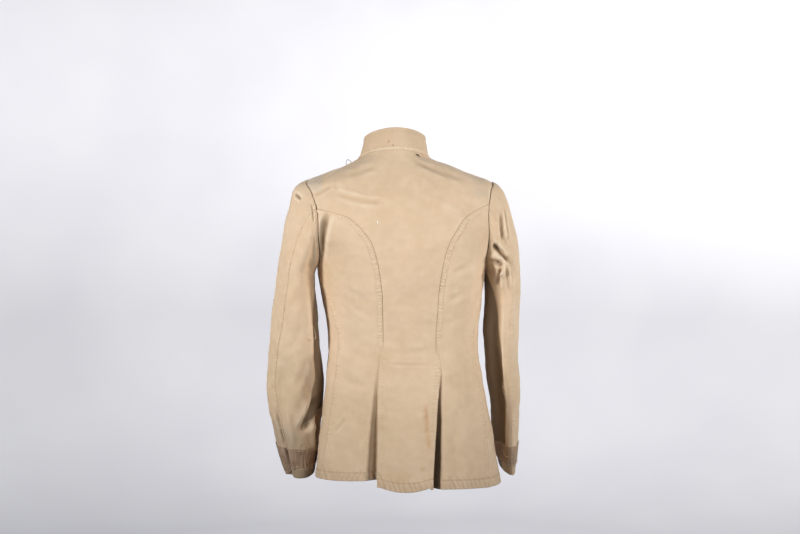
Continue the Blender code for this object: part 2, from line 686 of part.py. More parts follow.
def build_front(side):
    name = f"front_{side}"
    rows = row_heights(back=False)
    shares = np.linspace(0.0, 1.0, PANEL_POINTS)
    low = np.minimum(rows, ARMHOLE_BOTTOM)
    arm = np.clip((rows - ARMHOLE_BOTTOM) / (ARMHOLE_TOP - ARMHOLE_BOTTOM), 0.0, 1.0)
    neck = np.clip((rows - ARMHOLE_TOP) / (NECK_SIDE - ARMHOLE_TOP), 0.0, 1.0)
    middle = low + arm * (FRONT_AT_SHOULDER - ARMHOLE_BOTTOM) + neck * (NECK_FRONT - FRONT_AT_SHOULDER)
    pull = SEAM_GAP / 2 / reach_of(math.pi / 2 + 0 * rows, rows)
    edge_rows = rows + hem_drop(name, np.array(0.0)) * hem_fade(rows)
    first = side_edge(side, edge_rows, True) + pull
    last = front_edge(middle)
    angle = first[:, None] + (last - first)[:, None] * shares
    slope = ease((angle - first[:, None]) / (math.pi - first)[:, None])
    level = rows[:, None] + (middle - rows)[:, None] * slope
    height = level + hem_drop(name, shares) * hem_fade(level)
    panel_wall(name, front_panel(side), angle, height, SIGN[side], thickness_of(height))


def build_collar():
    """The collar has a column of points over each column of the panels that it is sewn to."""
    side_angle = math.radians(NECK_SIDE_DEGREES)
    end = math.pi - COLLAR_OPENING / 2 / COLLAR_TOP[-1][2]
    back = np.linspace(-side_angle, side_angle, PANEL_POINTS)
    front = np.linspace(side_angle, front_edge(np.array(NECK_FRONT)), PANEL_POINTS)[1:]
    front = np.append(front[front < end], end)
    angle, share = np.meshgrid(np.concatenate([-front[::-1], back, front]), np.linspace(0.0, 1.0, 3))
    outer = collar_surface(angle, share)
    inner = outer - COLLAR_CLOTH * outward(collar_surface, angle, share)
    wall("collar", outer, inner, "khaki_drill")


def sleeve_columns(first, last, steps):
    """Places of a sleeve piece's columns between its two seams, as shares, set by the armhole's points."""
    inside = [turn for turn in steps if first <= turn <= last]
    return (np.array(inside) - first) / (last - first)


def sleeve_grid(side, piece):
    """Turn and along of a sleeve piece's points, between the fore seam and the hind seam."""
    along = sleeve_rows(side)
    fore = smooth(SLEEVE_SEAM_TABLE, "along", "fore", along)
    hind = smooth(SLEEVE_SEAM_TABLE, "along", f"hind_{side}", along)
    ways = ((1, 0), (-1, 0), (-1, 360))
    turns = sorted({way * turn + start for turn in ARMHOLE_TURNS for way, start in ways})
    if piece == "upper":
        first, last = fore, hind
    else:
        first, last = hind, fore + 360
    shares = sleeve_columns(first[0], last[0], turns)
    turn = np.radians(first[:, None] + (last - first)[:, None] * shares)
    return turn, along[:, None] + 0 * turn


def build_sleeve(side, piece):
    turn, along = sleeve_grid(side, piece)
    pull = SEAM_GAP / 2 / SLEEVE_GIRTH_RADIUS
    turn[:, 0] += pull
    turn[:, -1] -= pull
    surface = sleeve_panel(side)
    outer = surface(turn, along)
    normal = SIGN[side] * outward(surface, turn, np.clip(along, SLEEVE_END_MARGIN, 1 - SLEEVE_END_MARGIN))
    wall(f"sleeve_{piece}_{side}", outer, outer - CLOTH * normal, "khaki_drill", flip=side == "left")


def build_cuff_band(side):
    """Braid round the sleeve: the sleeve's own points between two rows, moved out."""
    upper_turn, upper_along = sleeve_grid(side, "upper")
    under_turn, under_along = sleeve_grid(side, "under")
    turn = np.concatenate([upper_turn, under_turn[:, 1:-1]], axis=1)
    along = np.concatenate([upper_along, under_along[:, 1:-1]], axis=1)
    heights = list(TUBE_ROWS)
    first = len(CAP_ROWS) + heights.index(BAND_TOP)
    last = len(CAP_ROWS) + heights.index(BAND_BOTTOM)
    turn, along = turn[first:last + 1], along[first:last + 1]
    surface = sleeve_panel(side)
    base = surface(turn, along)
    normal = SIGN[side] * outward(surface, turn, along)
    inner = base + LIE_GAP * normal
    outer = inner + BRAID * normal
    wall(f"cuff_band_{side}", outer, inner, "cuff_braid", flip=side == "left", closed=True)


def build_button(number, height):
    """Domed button on the lapped fronts: a low dome over a thin edge."""
    surface = front_panel("left")
    angle = np.array(math.pi)
    place = np.array(height)
    normal = SIGN["left"] * outward(surface, angle, place)
    seat = surface(angle, place) + BUTTON_SEAT * normal
    rings = [(BUTTON_RADIUS, 0.0), (BUTTON_RADIUS, BUTTON_EDGE)]
    for k in range(1, BUTTON_DOME_STEPS):
        slope = math.pi / 2 * k / BUTTON_DOME_STEPS
        dome = BUTTON_EDGE + (BUTTON_RISE - BUTTON_EDGE) * math.sin(slope)
        rings.append((BUTTON_RADIUS * math.cos(slope), dome))
    mesh = bmesh.new()
    circles = []
    for radius, rise in rings:
        turns = [2 * math.pi * k / BUTTON_SEGMENTS for k in range(BUTTON_SEGMENTS)]
        circles.append([mesh.verts.new((radius * math.cos(t), radius * math.sin(t), rise)) for t in turns])
    peak = mesh.verts.new((0, 0, BUTTON_RISE))
    mesh.faces.new(circles[0][::-1])
    for low, high in zip(circles, circles[1:]):
        for k in range(BUTTON_SEGMENTS):
            after = k - BUTTON_SEGMENTS + 1
            mesh.faces.new([low[k], low[after], high[after], high[k]])
    for k in range(BUTTON_SEGMENTS):
        mesh.faces.new([circles[-1][k], circles[-1][k - BUTTON_SEGMENTS + 1], peak])
    data = bpy.data.meshes.new(f"button_{number}")
    mesh.to_mesh(data)
    mesh.free()
    data.shade_smooth()
    data.set_sharp_from_angle(angle=math.radians(SHARP_DEGREES))
    button = add_object(f"button_{number}", data, "button_bronze")
    turned = Vector(normal).to_track_quat("Z", "Y").to_matrix().to_4x4()
    button.matrix_world = Matrix.Translation(Vector(seat)) @ turned


def build_ring():
    """Wire ring beside the collar: a half loop that stands on the left shoulder."""
    heights = np.linspace(ARMHOLE_TOP, NECK_SIDE, RING_PLACES)
    angle = np.full(RING_PLACES, -math.radians(RING_DEGREES))
    ridge = torso(angle, heights)
    nearest = int(np.argmin(np.abs(ridge[:, 0] - RING_OFFSET)))
    normal = Vector(outward(torso, angle, heights)[nearest])
    seat = Vector(ridge[nearest]) + normal * RING_WIRE
    uphill = Vector(ridge[nearest + 1] - ridge[nearest - 1]).normalized()
    curve = bpy.data.curves.new("shoulder_ring_left", "CURVE")
    curve.dimensions = "3D"
    curve.bevel_depth = RING_WIRE
    curve.bevel_resolution = 1
    curve.use_fill_caps = True
    path = curve.splines.new("POLY")
    path.points.add(RING_STEPS)
    for k, point in enumerate(path.points):
        turn = math.pi * k / RING_STEPS
        place = seat + uphill * math.cos(turn) * RING_BREADTH / 2 + normal * math.sin(turn) * RING_RISE
        point.co = (*place, 1.0)
    add_object("shoulder_ring_left", curve, "ring_wire")


def main():
    for item in list(bpy.data.objects):
        bpy.data.objects.remove(item, do_unlink=True)
    build_back_centre()
    build_collar()
    for side in ("left", "right"):
        build_back_side(side)
        build_front(side)
        build_sleeve(side, "upper")
        build_sleeve(side, "under")
        build_cuff_band(side)
    for number, height in enumerate(BUTTON_HEIGHTS, 1):
        build_button(number, height)
    build_ring()


main()
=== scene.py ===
"""Looks of a khaki service jacket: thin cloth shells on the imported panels, sewn, creased and faded.

Every cloth piece is a surface of two parameters. Its form repeats the sizes of the solids, and relief
along the form's normal adds creases, seam bands, hems and puckers. Metres; the wearer faces +Y.
"""

import math

import bpy
import numpy as np
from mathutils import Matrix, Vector


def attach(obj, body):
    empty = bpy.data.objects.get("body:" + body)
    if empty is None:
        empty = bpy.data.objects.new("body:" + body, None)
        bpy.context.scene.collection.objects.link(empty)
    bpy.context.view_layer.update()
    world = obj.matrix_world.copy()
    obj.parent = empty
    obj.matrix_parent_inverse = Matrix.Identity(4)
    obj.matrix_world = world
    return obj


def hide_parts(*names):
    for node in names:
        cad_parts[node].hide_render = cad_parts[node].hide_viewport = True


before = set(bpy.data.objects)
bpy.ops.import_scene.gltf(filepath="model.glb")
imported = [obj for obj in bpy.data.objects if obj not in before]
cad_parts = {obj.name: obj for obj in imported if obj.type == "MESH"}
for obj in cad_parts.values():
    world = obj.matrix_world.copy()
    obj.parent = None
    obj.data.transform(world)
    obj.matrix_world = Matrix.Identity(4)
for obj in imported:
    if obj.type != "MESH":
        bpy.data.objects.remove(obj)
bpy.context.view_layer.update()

# Cloth and seams
HEM_CLOTH = 0.0024
SEAM_GAP = 0.0004
LIE_GAP = 0.0005
DIFFERENCE_STEP = 0.0005

# Level sections of the body, from below the hem to the neck
TORSO_COLUMNS = ("height", "half_left", "half_right", "back_depth", "front_depth", "shift_x",
                 "back_square", "front_square")
TORSO = (
    (-0.700, 0.1980, 0.2010, 0.128, 0.126, 0.026, 2.30, 2.30),
    (-0.600, 0.1830, 0.1885, 0.121, 0.122, 0.024, 2.30, 2.30),
    (-0.467, 0.1660, 0.1675, 0.107, 0.112, 0.020, 2.30, 2.30),
    (-0.386, 0.1580, 0.1580, 0.100, 0.107, 0.019, 2.30, 2.30),
    (-0.297, 0.1680, 0.1680, 0.107, 0.114, 0.016, 2.40, 2.40),
    (-0.223, 0.1790, 0.1790, 0.115, 0.117, 0.014, 2.50, 2.50),
    (-0.150, 0.2180, 0.2200, 0.117, 0.106, 0.011, 2.45, 2.30),
    (-0.090, 0.2270, 0.2300, 0.107, 0.083, 0.008, 2.45, 1.95),
    (-0.060, 0.2180, 0.2210, 0.096, 0.067, 0.006, 2.40, 1.60),
    (-0.047, 0.1940, 0.2035, 0.091, 0.063, 0.005, 2.40, 1.45),
    (-0.040, 0.1730, 0.1860, 0.088, 0.061, 0.004, 2.40, 1.38),
    (-0.020, 0.1210, 0.1325, 0.079, 0.059, 0.002, 2.20, 1.30),
    (0.004, 0.0735, 0.0730, 0.066, 0.057, 0.000, 2.10, 2.00),
    (0.030, 0.0600, 0.0600, 0.056, 0.055, 0.000, 2.00, 2.00),
)

# Curved back seams: how far each lies to the side of its section's middle; they end on the armholes
PRINCESS_COLUMNS = ("height", "left", "right")
PRINCESS = (
    (-0.700, 0.0700, 0.0310),
    (-0.600, 0.0655, 0.0400),
    (-0.520, 0.0616, 0.0490),
    (-0.426, 0.0560, 0.0580),
    (-0.386, 0.0534, 0.0570),
    (-0.297, 0.0530, 0.0640),
    (-0.234, 0.0590, 0.0730),
    (-0.183, 0.0710, 0.0880),
    (-0.153, 0.0900, 0.1060),
    (-0.128, 0.1180, 0.1250),
)

# Side seams: degrees round the body from the centre back
SIDE_SEAM_COLUMNS = ("height", "left", "right")
SIDE_SEAM = (
    (-0.700, 79.0, 62.0),
    (-0.600, 74.0, 66.0),
    (-0.467, 70.0, 71.0),
    (-0.386, 69.0, 70.0),
    (-0.297, 75.0, 76.0),
    (-0.228, 87.0, 87.0),
)

# Armholes: ovals in height and in degrees round the body
ARMHOLE_TOP = -0.047
ARMHOLE_BOTTOM = -0.228
ARMHOLE_TOP_DEGREES = 85.0
ARMHOLE_BOTTOM_DEGREES = 87.0
ARMHOLE_BACK_DEGREES = 21.0
ARMHOLE_FRONT_DEGREES = 29.0
ARMHOLE_MIDDLE = (ARMHOLE_TOP + ARMHOLE_BOTTOM) / 2
ARMHOLE_HALF = (ARMHOLE_TOP - ARMHOLE_BOTTOM) / 2
JOIN_TURN = {"left": 72, "right": 63}

# Neck and shoulder seams
NECK_SIDE = 0.004
NECK_SIDE_DEGREES = 81.0
NECK_BACK_RISE = 0.011
NECK_FRONT = -0.042
FRONT_AT_SHOULDER = -0.085

# Top edge of the collar from the centre back; the first row mirrors the third, so it is round there
COLLAR_TOP_COLUMNS = ("degrees", "height", "reach")
COLLAR_TOP = (
    (-90.0, 0.0440, 0.0640),
    (0.0, 0.0620, 0.0575),
    (90.0, 0.0440, 0.0640),
    (180.0, -0.0010, 0.0520),
)
COLLAR_OPENING = 0.002
COLLAR_LIFT = 0.0008

# Hems
HEM_LEVEL = -0.680
HEM_FADE_TOP = -0.500
HEM = {
    "back_centre": (-0.671, -0.682, -0.673),
    "back_side_left": (-0.657, -0.661, -0.665),
    "back_side_right": (-0.677, -0.679, -0.683),
    "front_left": (-0.665, -0.676, -0.684),
    "front_right": (-0.683, -0.684, -0.684),
}

# Pleats beside the back seams: full depth and breadth are at the hem
PLEAT = {
    "left": {"top": -0.390, "depth": 0.021, "flat": 0.0030, "bottom": 0.0100, "end": 0.0340},
    "right": {"top": -0.405, "depth": 0.030, "flat": 0.0030, "bottom": 0.0120, "end": 0.0265},
}
PLEAT_LEAST_BREADTH = 0.40
PLEAT_SHUT_BELOW = 0.012
PLEAT_SHUT_EASE = 0.030
PLEAT_TUCK_IN = 0.003

# Fronts
FRONT_LAP = 0.018
LAP_EASE = 0.022

# Sleeves: level sections from just under the armhole to the sleeve's edge
SLEEVE_END = -0.664
SLEEVE_COLUMNS = ("height", "centre_x", "centre_y", "half_width", "half_depth", "tilt")
SLEEVE = {
    "left": (
        (SLEEVE_END, -0.1985, 0.063, 0.0330, 0.0500, 0.22),
        (-0.615, -0.2030, 0.056, 0.0425, 0.0500, 0.20),
        (-0.570, -0.2065, 0.048, 0.0500, 0.0500, 0.14),
        (-0.520, -0.2092, 0.038, 0.0560, 0.0510, 0.06),
        (-0.470, -0.2112, 0.028, 0.0585, 0.0520, 0.02),
        (-0.425, -0.2114, 0.020, 0.0552, 0.0560, 0.00),
        (-0.360, -0.2115, 0.010, 0.0500, 0.0620, 0.00),
        (-0.300, -0.2107, 0.004, 0.0443, 0.0660, 0.00),
        (-0.245, -0.2080, 0.000, 0.0395, 0.0680, 0.00),
    ),
    "right": (
        (SLEEVE_END, 0.2545, 0.063, 0.0150, 0.0610, 0.18),
        (-0.615, 0.2515, 0.056, 0.0225, 0.0610, 0.16),
        (-0.570, 0.2485, 0.048, 0.0275, 0.0620, 0.12),
        (-0.520, 0.2472, 0.038, 0.0305, 0.0620, 0.06),
        (-0.470, 0.2404, 0.028, 0.0325, 0.0630, 0.02),
        (-0.425, 0.2355, 0.020, 0.0330, 0.0640, 0.00),
        (-0.360, 0.2325, 0.010, 0.0370, 0.0640, 0.00),
        (-0.300, 0.2325, 0.004, 0.0360, 0.0660, 0.00),
        (-0.245, 0.2315, 0.000, 0.0370, 0.0680, 0.00),
    ),
}

# How a sleeve leaves its armhole: shares of the ways out to the side, down and off the body's surface
LEAVE_COLUMNS = ("sideways", "down", "off")
LEAVE_AT_SHOULDER = (0.92, 0.38, 0.00)
LEAVE_AT_UNDERARM = (0.25, 0.95, 0.15)
LEAVE_AT_FLANKS = 0.15
LEAVE_PULL = 0.6
CAP_SHARE = 0.25
TUBE_LEAD = 0.01
SLEEVE_END_MARGIN = 0.001

# Heights of the braid's two edges
BAND_TOP = -0.604
BAND_BOTTOM = -0.642

# Sleeve seams: degrees round the sleeve from its outer side, by way of the back
SLEEVE_SEAM_COLUMNS = ("along", "hind_left", "hind_right", "fore")
SLEEVE_SEAM = (
    (0.00, 72.0, 72.0, -108.0),
    (0.35, 62.0, 82.0, -108.0),
    (0.65, 44.0, 88.0, -110.0),
    (1.00, 60.0, 90.0, -112.0),
)

# Largest folds of the sleeves: each runs from one place to another, and a negative height is a trough
FOLD_COLUMNS = ("along_from", "degrees_from", "along_to", "degrees_to", "half_breadth", "height")
SLEEVE_FOLDS = {
    "left": (
        (0.62, 58.0, 1.06, 46.0, 0.012, -0.0085),
        (0.62, 118.0, 0.86, 150.0, 0.014, -0.0070),
        (0.64, 22.0, 0.82, 24.0, 0.014, 0.0030),
    ),
    "right": (
        (0.07, 112.0, 0.27, 62.0, 0.011, -0.0070),
        (0.17, 122.0, 0.31, 80.0, 0.012, 0.0050),
        (0.30, 78.0, 0.56, 66.0, 0.012, 0.0040),
    ),
}
FOLD_FADE = 0.3
SLEEVE_GIRTH_RADIUS = 0.055
SLEEVE_LENGTH = 0.63

# Buttons, ring and slit, as on the solids
BUTTON_HEIGHTS = (-0.080, -0.160, -0.240, -0.320, -0.400)
BUTTON_RADIUS = 0.0105
BUTTON_RISE = 0.0050
BUTTON_SEAT = 0.0008
BUTTON_SEGMENTS = 48
BUTTON_POLE = 0.001
BUTTON_COLUMNS = ("radius", "rise")
BUTTON_PROFILE = (
    (0.00, 1.00), (0.20, 0.99), (0.40, 0.95), (0.60, 0.87), (0.76, 0.76), (0.84, 0.67), (0.87, 0.60),
    (0.90, 0.63), (0.94, 0.66), (0.98, 0.60), (1.00, 0.48), (1.00, 0.16), (0.96, 0.02), (0.00, 0.00),
)
RING_OFFSET = -0.0970
RING_BREADTH = 0.0110
RING_RISE = 0.0085
RING_WIRE = 0.0006
RING_DEGREES = 86.0
RING_PLACES = 200
RING_STEPS = 40
SLIT_DEGREES = 40.0
SLIT_DROP = 0.0068
SLIT_LENGTH = 0.0130
SLIT_BREADTH = 0.0046
SLIT_LEAN_DEGREES = -24.0
SLIT_STEPS = 24
SLIT_CUT_REACH = 0.006
SLIT_LIP = 0.0009
LIP_END = 0.04
LIP_THIN = 0.3
LIP_SWELL = 0.9

# Shells of the looks: thickness, tucked edges, felled bands and hems
SHELL = 0.0008
COLLAR_SHELL = 0.0022
BRAID_SHELL = 0.0009
RIM_SWELL = 0.0004
TUCK = 0.0003
ARMHOLE_TUCK = 0.0007
ARMHOLE_DIVE = 0.8
FRONT_SETTLE = 0.016
BACK_SETTLE = 0.009
LAP_SETTLE = {"left": 0.0020, "right": 0.0}
TUCK_RUN = 0.005
TUCK_EASE = 0.0042
CORNER_REACH = 0.016
CORNER_START = 0.4
ARMHOLE_REACH = 0.2
SHARE_STEP = 0.002
LEAST_SINE = 0.35
WIDEST_SHARE = 0.999
BAND_EASE = 0.0024
FELL_RISE = 0.0009
SLEEVE_FELL_RISE = 0.0005
FELL_BREADTH = 0.0085
SIDE_FELL_BREADTH = 0.0070
FACING_BREADTH = 2 * FELL_BREADTH
OPEN_FELL_RISE = 0.5
SIDE_FELL_EASE = 0.02
FRONT_TUCK_EASE = 0.01
SHOULDER_EASE = 0.006
HEM_RISE = 0.0012
HEM_BREADTH = 0.0180
HEM_GROOVE = 0.5
HEM_GROOVE_HALF = 0.0016

# Puckers: height, pitch and how both wander; beside each seam, how far in they lie and their half breadth
PUCKER = 0.00060
PUCKER_PITCH = 0.0092
PUCKER_SWING = 1.7
PUCKER_SWING_PITCH = 5.3
PUCKER_EVEN = 0.65
PUCKER_UNEVEN = 0.35
PUCKER_UNEVEN_PITCH = 7.7
PUCKER_UNEVEN_START = 1.0
CENTRE_PUCKER = 0.5
CENTRE_PUCKER_IN, CENTRE_PUCKER_HALF = 0.004, 0.004
BACK_PUCKER_IN, BACK_PUCKER_HALF = 0.005, 0.006
SIDE_PUCKER_IN, SIDE_PUCKER_HALF = 0.004, 0.005
SIDE_PUCKER_SHIFT = 0.3
HEM_PUCKER_PITCH = 0.0125
HEM_PUCKER_REACH = 0.75
HEM_PUCKER_LEAN = 0.5
HEM_PUCKER_PAST = 0.006
GATHER_CLOSER = 1.6
GATHER_RUN = 0.03

# Soft unevenness and the form of creases; each seed starts its own random draw
SLACK = 0.0011
SLACK_LENGTH = 0.075
SLACK_FINE = 0.00030
SLACK_FINE_LENGTH = 0.022
SLACK_WAVES = 14
SLACK_SPREAD = (0.7, 1.7)
BODY_SEEDS = (5, 6)
SLEEVE_SEEDS = (7, 8)
COLLAR_SEED = 9
BRAID_SEED = 11
STAIN_SEED = 21
CREASE_FADE = 0.28
CREASE_SHOULDER = 0.30
CREASE_SHOULDER_AT = 1.9
FOLD_OPEN = 0.5
SIDE_BLEND = 0.03

# Grids: rows and columns of each kind of cloth piece
GRID = {
    "back_centre": (290, 110),
    "back_side": (240, 76),
    "front": (190, 66),
    "sleeve": (250, 90),
    "collar": (26, 260),
    "band": (18, 260),
}
GRID_PULL = 0.55
TIP_GAP = 0.0008
BRAID_OVERLAP = 1.012

# Creases of the body, in metres across and up: where each runs from and to, how far its middle bows,
# its half breadth and its height, a trough where negative
CREASE_COLUMNS = ("from_x", "from_z", "to_x", "to_z", "bow", "half_breadth", "height")
BACK_CREASES = (
    (-0.146, -0.070, -0.020, -0.096, 0.008, 0.0052, -0.0026),
    (-0.150, -0.088, -0.050, -0.108, 0.006, 0.0090, 0.0010),
    (-0.1345, -0.0560, -0.1230, -0.0720, 0.001, 0.0045, -0.0012),
    (-0.1760, -0.083, -0.134, -0.060, 0.000, 0.0035, -0.0016),
    (-0.128, -0.043, -0.036, -0.017, 0.003, 0.0058, -0.0014),
    (0.026, -0.004, 0.150, -0.047, 0.003, 0.0075, -0.0032),
    (0.028, 0.001, 0.090, -0.018, 0.002, 0.0035, 0.0008),
    (0.060, -0.060, 0.165, -0.105, 0.010, 0.0120, -0.0016),
    (-0.1455, -0.112, -0.1610, -0.228, 0.005, 0.0070, -0.0096),
    (-0.116, -0.262, -0.058, -0.300, 0.004, 0.0060, -0.0006),
    (-0.108, -0.296, -0.046, -0.336, 0.004, 0.0055, -0.0007),
    (-0.120, -0.232, -0.068, -0.262, 0.003, 0.0065, -0.0004),
    (0.105, -0.245, 0.155, -0.205, 0.004, 0.0070, -0.0018),
    (0.098, -0.300, 0.150, -0.262, 0.004, 0.0070, -0.0014),
    (-0.036, -0.424, 0.076, -0.427, 0.001, 0.0030, -0.0009),
    (-0.030, -0.405, 0.070, -0.398, 0.002, 0.0080, -0.0010),
    (-0.136, -0.568, -0.108, -0.532, 0.002, 0.0035, -0.0014),
    (-0.126, -0.440, -0.060, -0.470, 0.006, 0.0100, -0.0014),
    (0.095, -0.450, 0.150, -0.480, 0.006, 0.0100, -0.0014),
    (-0.020, -0.470, -0.026, -0.690, 0.004, 0.0140, -0.0016),
    (0.034, -0.480, 0.040, -0.690, 0.004, 0.0140, 0.0014),
    (0.110, -0.520, 0.118, -0.690, 0.003, 0.0120, -0.0014),
)
FRONT_CREASES = (
    (-0.170, -0.150, -0.060, -0.200, 0.006, 0.0090, -0.0024),
    (-0.160, -0.200, -0.070, -0.260, 0.006, 0.0080, -0.0020),
    (0.180, -0.150, 0.070, -0.205, 0.006, 0.0090, -0.0024),
    (0.165, -0.205, 0.080, -0.262, 0.006, 0.0080, -0.0020),
    (-0.130, -0.370, -0.030, -0.395, 0.004, 0.0060, -0.0016),
    (0.140, -0.365, 0.050, -0.398, 0.004, 0.0060, -0.0016),
    (-0.120, -0.345, -0.035, -0.352, 0.005, 0.0070, -0.0014),
    (0.130, -0.335, 0.060, -0.350, 0.005, 0.0070, -0.0014),
    (-0.080, -0.440, -0.105, -0.690, 0.006, 0.0140, -0.0020),
    (0.120, -0.440, 0.140, -0.690, 0.006, 0.0140, -0.0020),
    (-0.140, -0.470, -0.165, -0.690, 0.004, 0.0120, 0.0016),
    (0.070, -0.450, 0.078, -0.690, 0.004, 0.0120, 0.0016),
)

# Finer creases of the sleeves, as the largest folds above, with a bow in metres. Both sleeves share the
# fore ones
FINE_COLUMNS = ("along_from", "degrees_from", "along_to", "degrees_to", "bow", "half_breadth", "height")
FORE_CREASES = (
    (0.300, -60.0, 0.440, -20.0, 0.004, 0.0090, -0.0022),
    (0.460, -80.0, 0.580, -30.0, 0.004, 0.0090, -0.0026),
    (0.640, -70.0, 0.760, -20.0, 0.004, 0.0080, -0.0022),
    (0.400, 230.0, 0.520, 200.0, 0.004, 0.0080, -0.0026),
    (0.470, 236.0, 0.600, 206.0, 0.004, 0.0080, -0.0026),
)
SLEEVE_CREASES = {
    "left": (
        (0.220, 150.0, 0.960, 156.0, 0.000, 0.0120, -0.0070),
        (0.054, 29.0, 0.049, 46.0, 0.000, 0.0028, -0.0044),
        (0.045, -40.0, 0.045, 60.0, 0.000, 0.0200, 0.0060),
        (0.018, 58.0, 0.036, 86.0, 0.001, 0.0036, -0.0028),
        (0.020, 106.0, 0.220, 130.0, 0.004, 0.0100, -0.0040),
        (0.030, 84.0, 0.240, 97.0, 0.003, 0.0100, 0.0014),
        (0.300, 96.0, 0.420, 60.0, 0.005, 0.0090, -0.0012),
        (0.420, 108.0, 0.540, 70.0, 0.005, 0.0090, -0.0014),
        (0.480, 20.0, 0.600, 54.0, 0.004, 0.0090, -0.0012),
        (0.560, 112.0, 0.690, 84.0, 0.005, 0.0080, -0.0014),
        (0.720, 66.0, 0.900, 78.0, 0.003, 0.0070, 0.0024),
        (0.690, 92.0, 0.860, 104.0, 0.003, 0.0075, -0.0014),
        (0.745, 41.0, 0.900, 47.0, 0.000, 0.0032, -0.0036),
        (0.880, 48.0, 1.000, 59.0, 0.002, 0.0050, -0.0050),
        (0.640, 56.0, 0.880, 50.0, 0.000, 0.0120, 0.0040),
        (0.700, 146.0, 0.835, 100.0, 0.003, 0.0095, -0.0135),
        (0.780, 127.0, 0.920, 136.0, 0.002, 0.0070, 0.0042),
        (0.740, 157.0, 0.940, 171.0, 0.002, 0.0100, -0.0060),
        *FORE_CREASES,
    ),
    "right": (
        (0.240, 132.0, 1.020, 134.0, 0.000, 0.0200, -0.0130),
        (0.300, 106.0, 0.900, 109.0, 0.000, 0.0050, 0.0026),
        (0.060, 57.0, 0.124, 87.0, 0.002, 0.0060, -0.0052),
        (0.070, 40.0, 0.152, 71.0, 0.002, 0.0040, -0.0040),
        (0.080, 58.0, 0.164, 77.0, 0.002, 0.0045, 0.0020),
        (0.048, 113.0, 0.152, 99.0, 0.001, 0.0042, -0.0066),
        (0.124, 105.0, 0.204, 83.0, 0.001, 0.0042, -0.0056),
        (0.078, 99.0, 0.196, 72.0, 0.002, 0.0050, 0.0036),
        (0.056, 131.0, 0.184, 96.0, 0.003, 0.0054, 0.0058),
        (0.172, 96.0, 0.266, 105.0, 0.002, 0.0050, 0.0046),
        (0.144, 121.0, 0.200, 104.0, 0.001, 0.0046, -0.0062),
        (0.196, 106.0, 0.296, 130.0, 0.002, 0.0050, -0.0056),
        (0.208, 102.0, 0.312, 113.0, 0.001, 0.0046, 0.0040),
        (0.196, 95.0, 0.320, 89.0, 0.001, 0.0056, -0.0046),
        (0.380, 92.0, 0.520, 66.0, 0.004, 0.0080, -0.0013),
        (0.520, 98.0, 0.660, 74.0, 0.004, 0.0080, -0.0013),
        (0.640, 66.0, 0.820, 92.0, 0.004, 0.0080, -0.0013),
        *FORE_CREASES,
    ),
}

# Painted shade on the undersides of the sleeves: the degrees round between which each is dark, by the share
# along
UNDERSIDE_COLUMNS = ("along", "from", "to")
UNDERSIDE = {
    "left": (
        (0.20, 176.0, 215.0), (0.305, 161.0, 215.0), (0.417, 149.0, 215.0), (0.527, 143.0, 215.0),
        (0.64, 134.0, 215.0), (0.71, 124.0, 210.0), (0.755, 112.0, 165.0), (0.785, 103.0, 132.0),
        (0.815, 97.0, 104.0), (0.83, 97.0, 98.0), (0.86, 180.0, 174.0), (1.00, 180.0, 174.0),
    ),
    "right": (
        (0.20, 176.0, 215.0), (0.27, 150.0, 215.0), (0.31, 139.0, 215.0), (0.36, 132.0, 215.0),
        (0.46, 125.0, 215.0), (0.53, 117.0, 215.0), (0.62, 114.0, 215.0), (0.68, 117.0, 215.0),
        (0.74, 125.0, 215.0), (0.84, 128.0, 215.0), (0.93, 128.0, 215.0), (0.96, 150.0, 215.0),
        (1.00, 150.0, 215.0),
    ),
}
UNDERSIDE_EASE = 7.0
SLEEVE_TURN_START = math.pi * 2 / 3
UNDERSIDE_PAINTED_SHADE = {"left": 1.0, "right": 0.85}

# Marks on the cloth: stains as crease rows whose height is a strength, and unfaded patches as soft boxes
STAINS = (
    (0.0500, -0.494, 0.0610, -0.612, 0.002, 0.0050, 0.62),
    (0.0400, -0.633, 0.0490, -0.640, 0.000, 0.0045, 0.45),
    (-0.0360, -0.640, 0.0300, -0.652, 0.004, 0.0120, 0.18),
)
PATCH_COLUMNS = ("from_x", "to_x", "from_z", "to_z", "strength")
UNFADED = (
    (-0.205, -0.153, -0.076, 0.0, 0.75),
    (0.152, 0.190, -0.088, 0.0, 0.35),
)
PATCH_EASE = 0.007
STAIN_EVEN = 0.75
STAIN_UNEVEN = 0.35
STAIN_LENGTH = 0.012

# Strengths of what the finish draws: felled bands and lines at seams; painted shade in pleats, steep folds,
# sleeve undersides and at the cuffs; painted light on the right braid; darker troughs, partly soil and partly
# painted shade; a darker skirt and collar
FAR = 1.0
OPEN_FELL = {"left": 0.3, "right": 0.6}
OPEN_FELL_END = -0.565
OPEN_FELL_EASE = 0.06
SIDE_FELL = 0.6
SHOULDER_FELL = 0.6
SLEEVE_FELL = {"upper": 0.4, "under": 0.0}
ARMHOLE_FELL = 0.5
COLLAR_FELL = 0.3
ARMHOLE_LINE = 0.7
SIDE_LINE = 0.45
FRONT_LINE = 0.7
FOLD_PAINTED_SHADE = 0.8
PLEAT_PAINTED_SHADE = {"left": 0.38, "right": 0.94}
PLEAT_FULL = 0.28
CUFF_TIP_PAINTED_SHADE = {"left": 0.72, "right": 0.3}
CUFF_TIP_SHADE_EASE = 0.008
CUFF_SHADE = {"left": 0.46, "right": 0.0}
CUFF_SHADE_RUN = 0.17
BRAID_PAINTED_LIGHT = {"left": 0.0, "right": 1.0}
SKIRT_DARKENING = 0.26
SKIRT_DARKENING_TOP = -0.38
SKIRT_DARKENING_EASE = 0.2
TROUGH_SOIL_AND_SHADE = 0.45
TONE_DEPTH = 0.0011
TONE_PASSES = 10

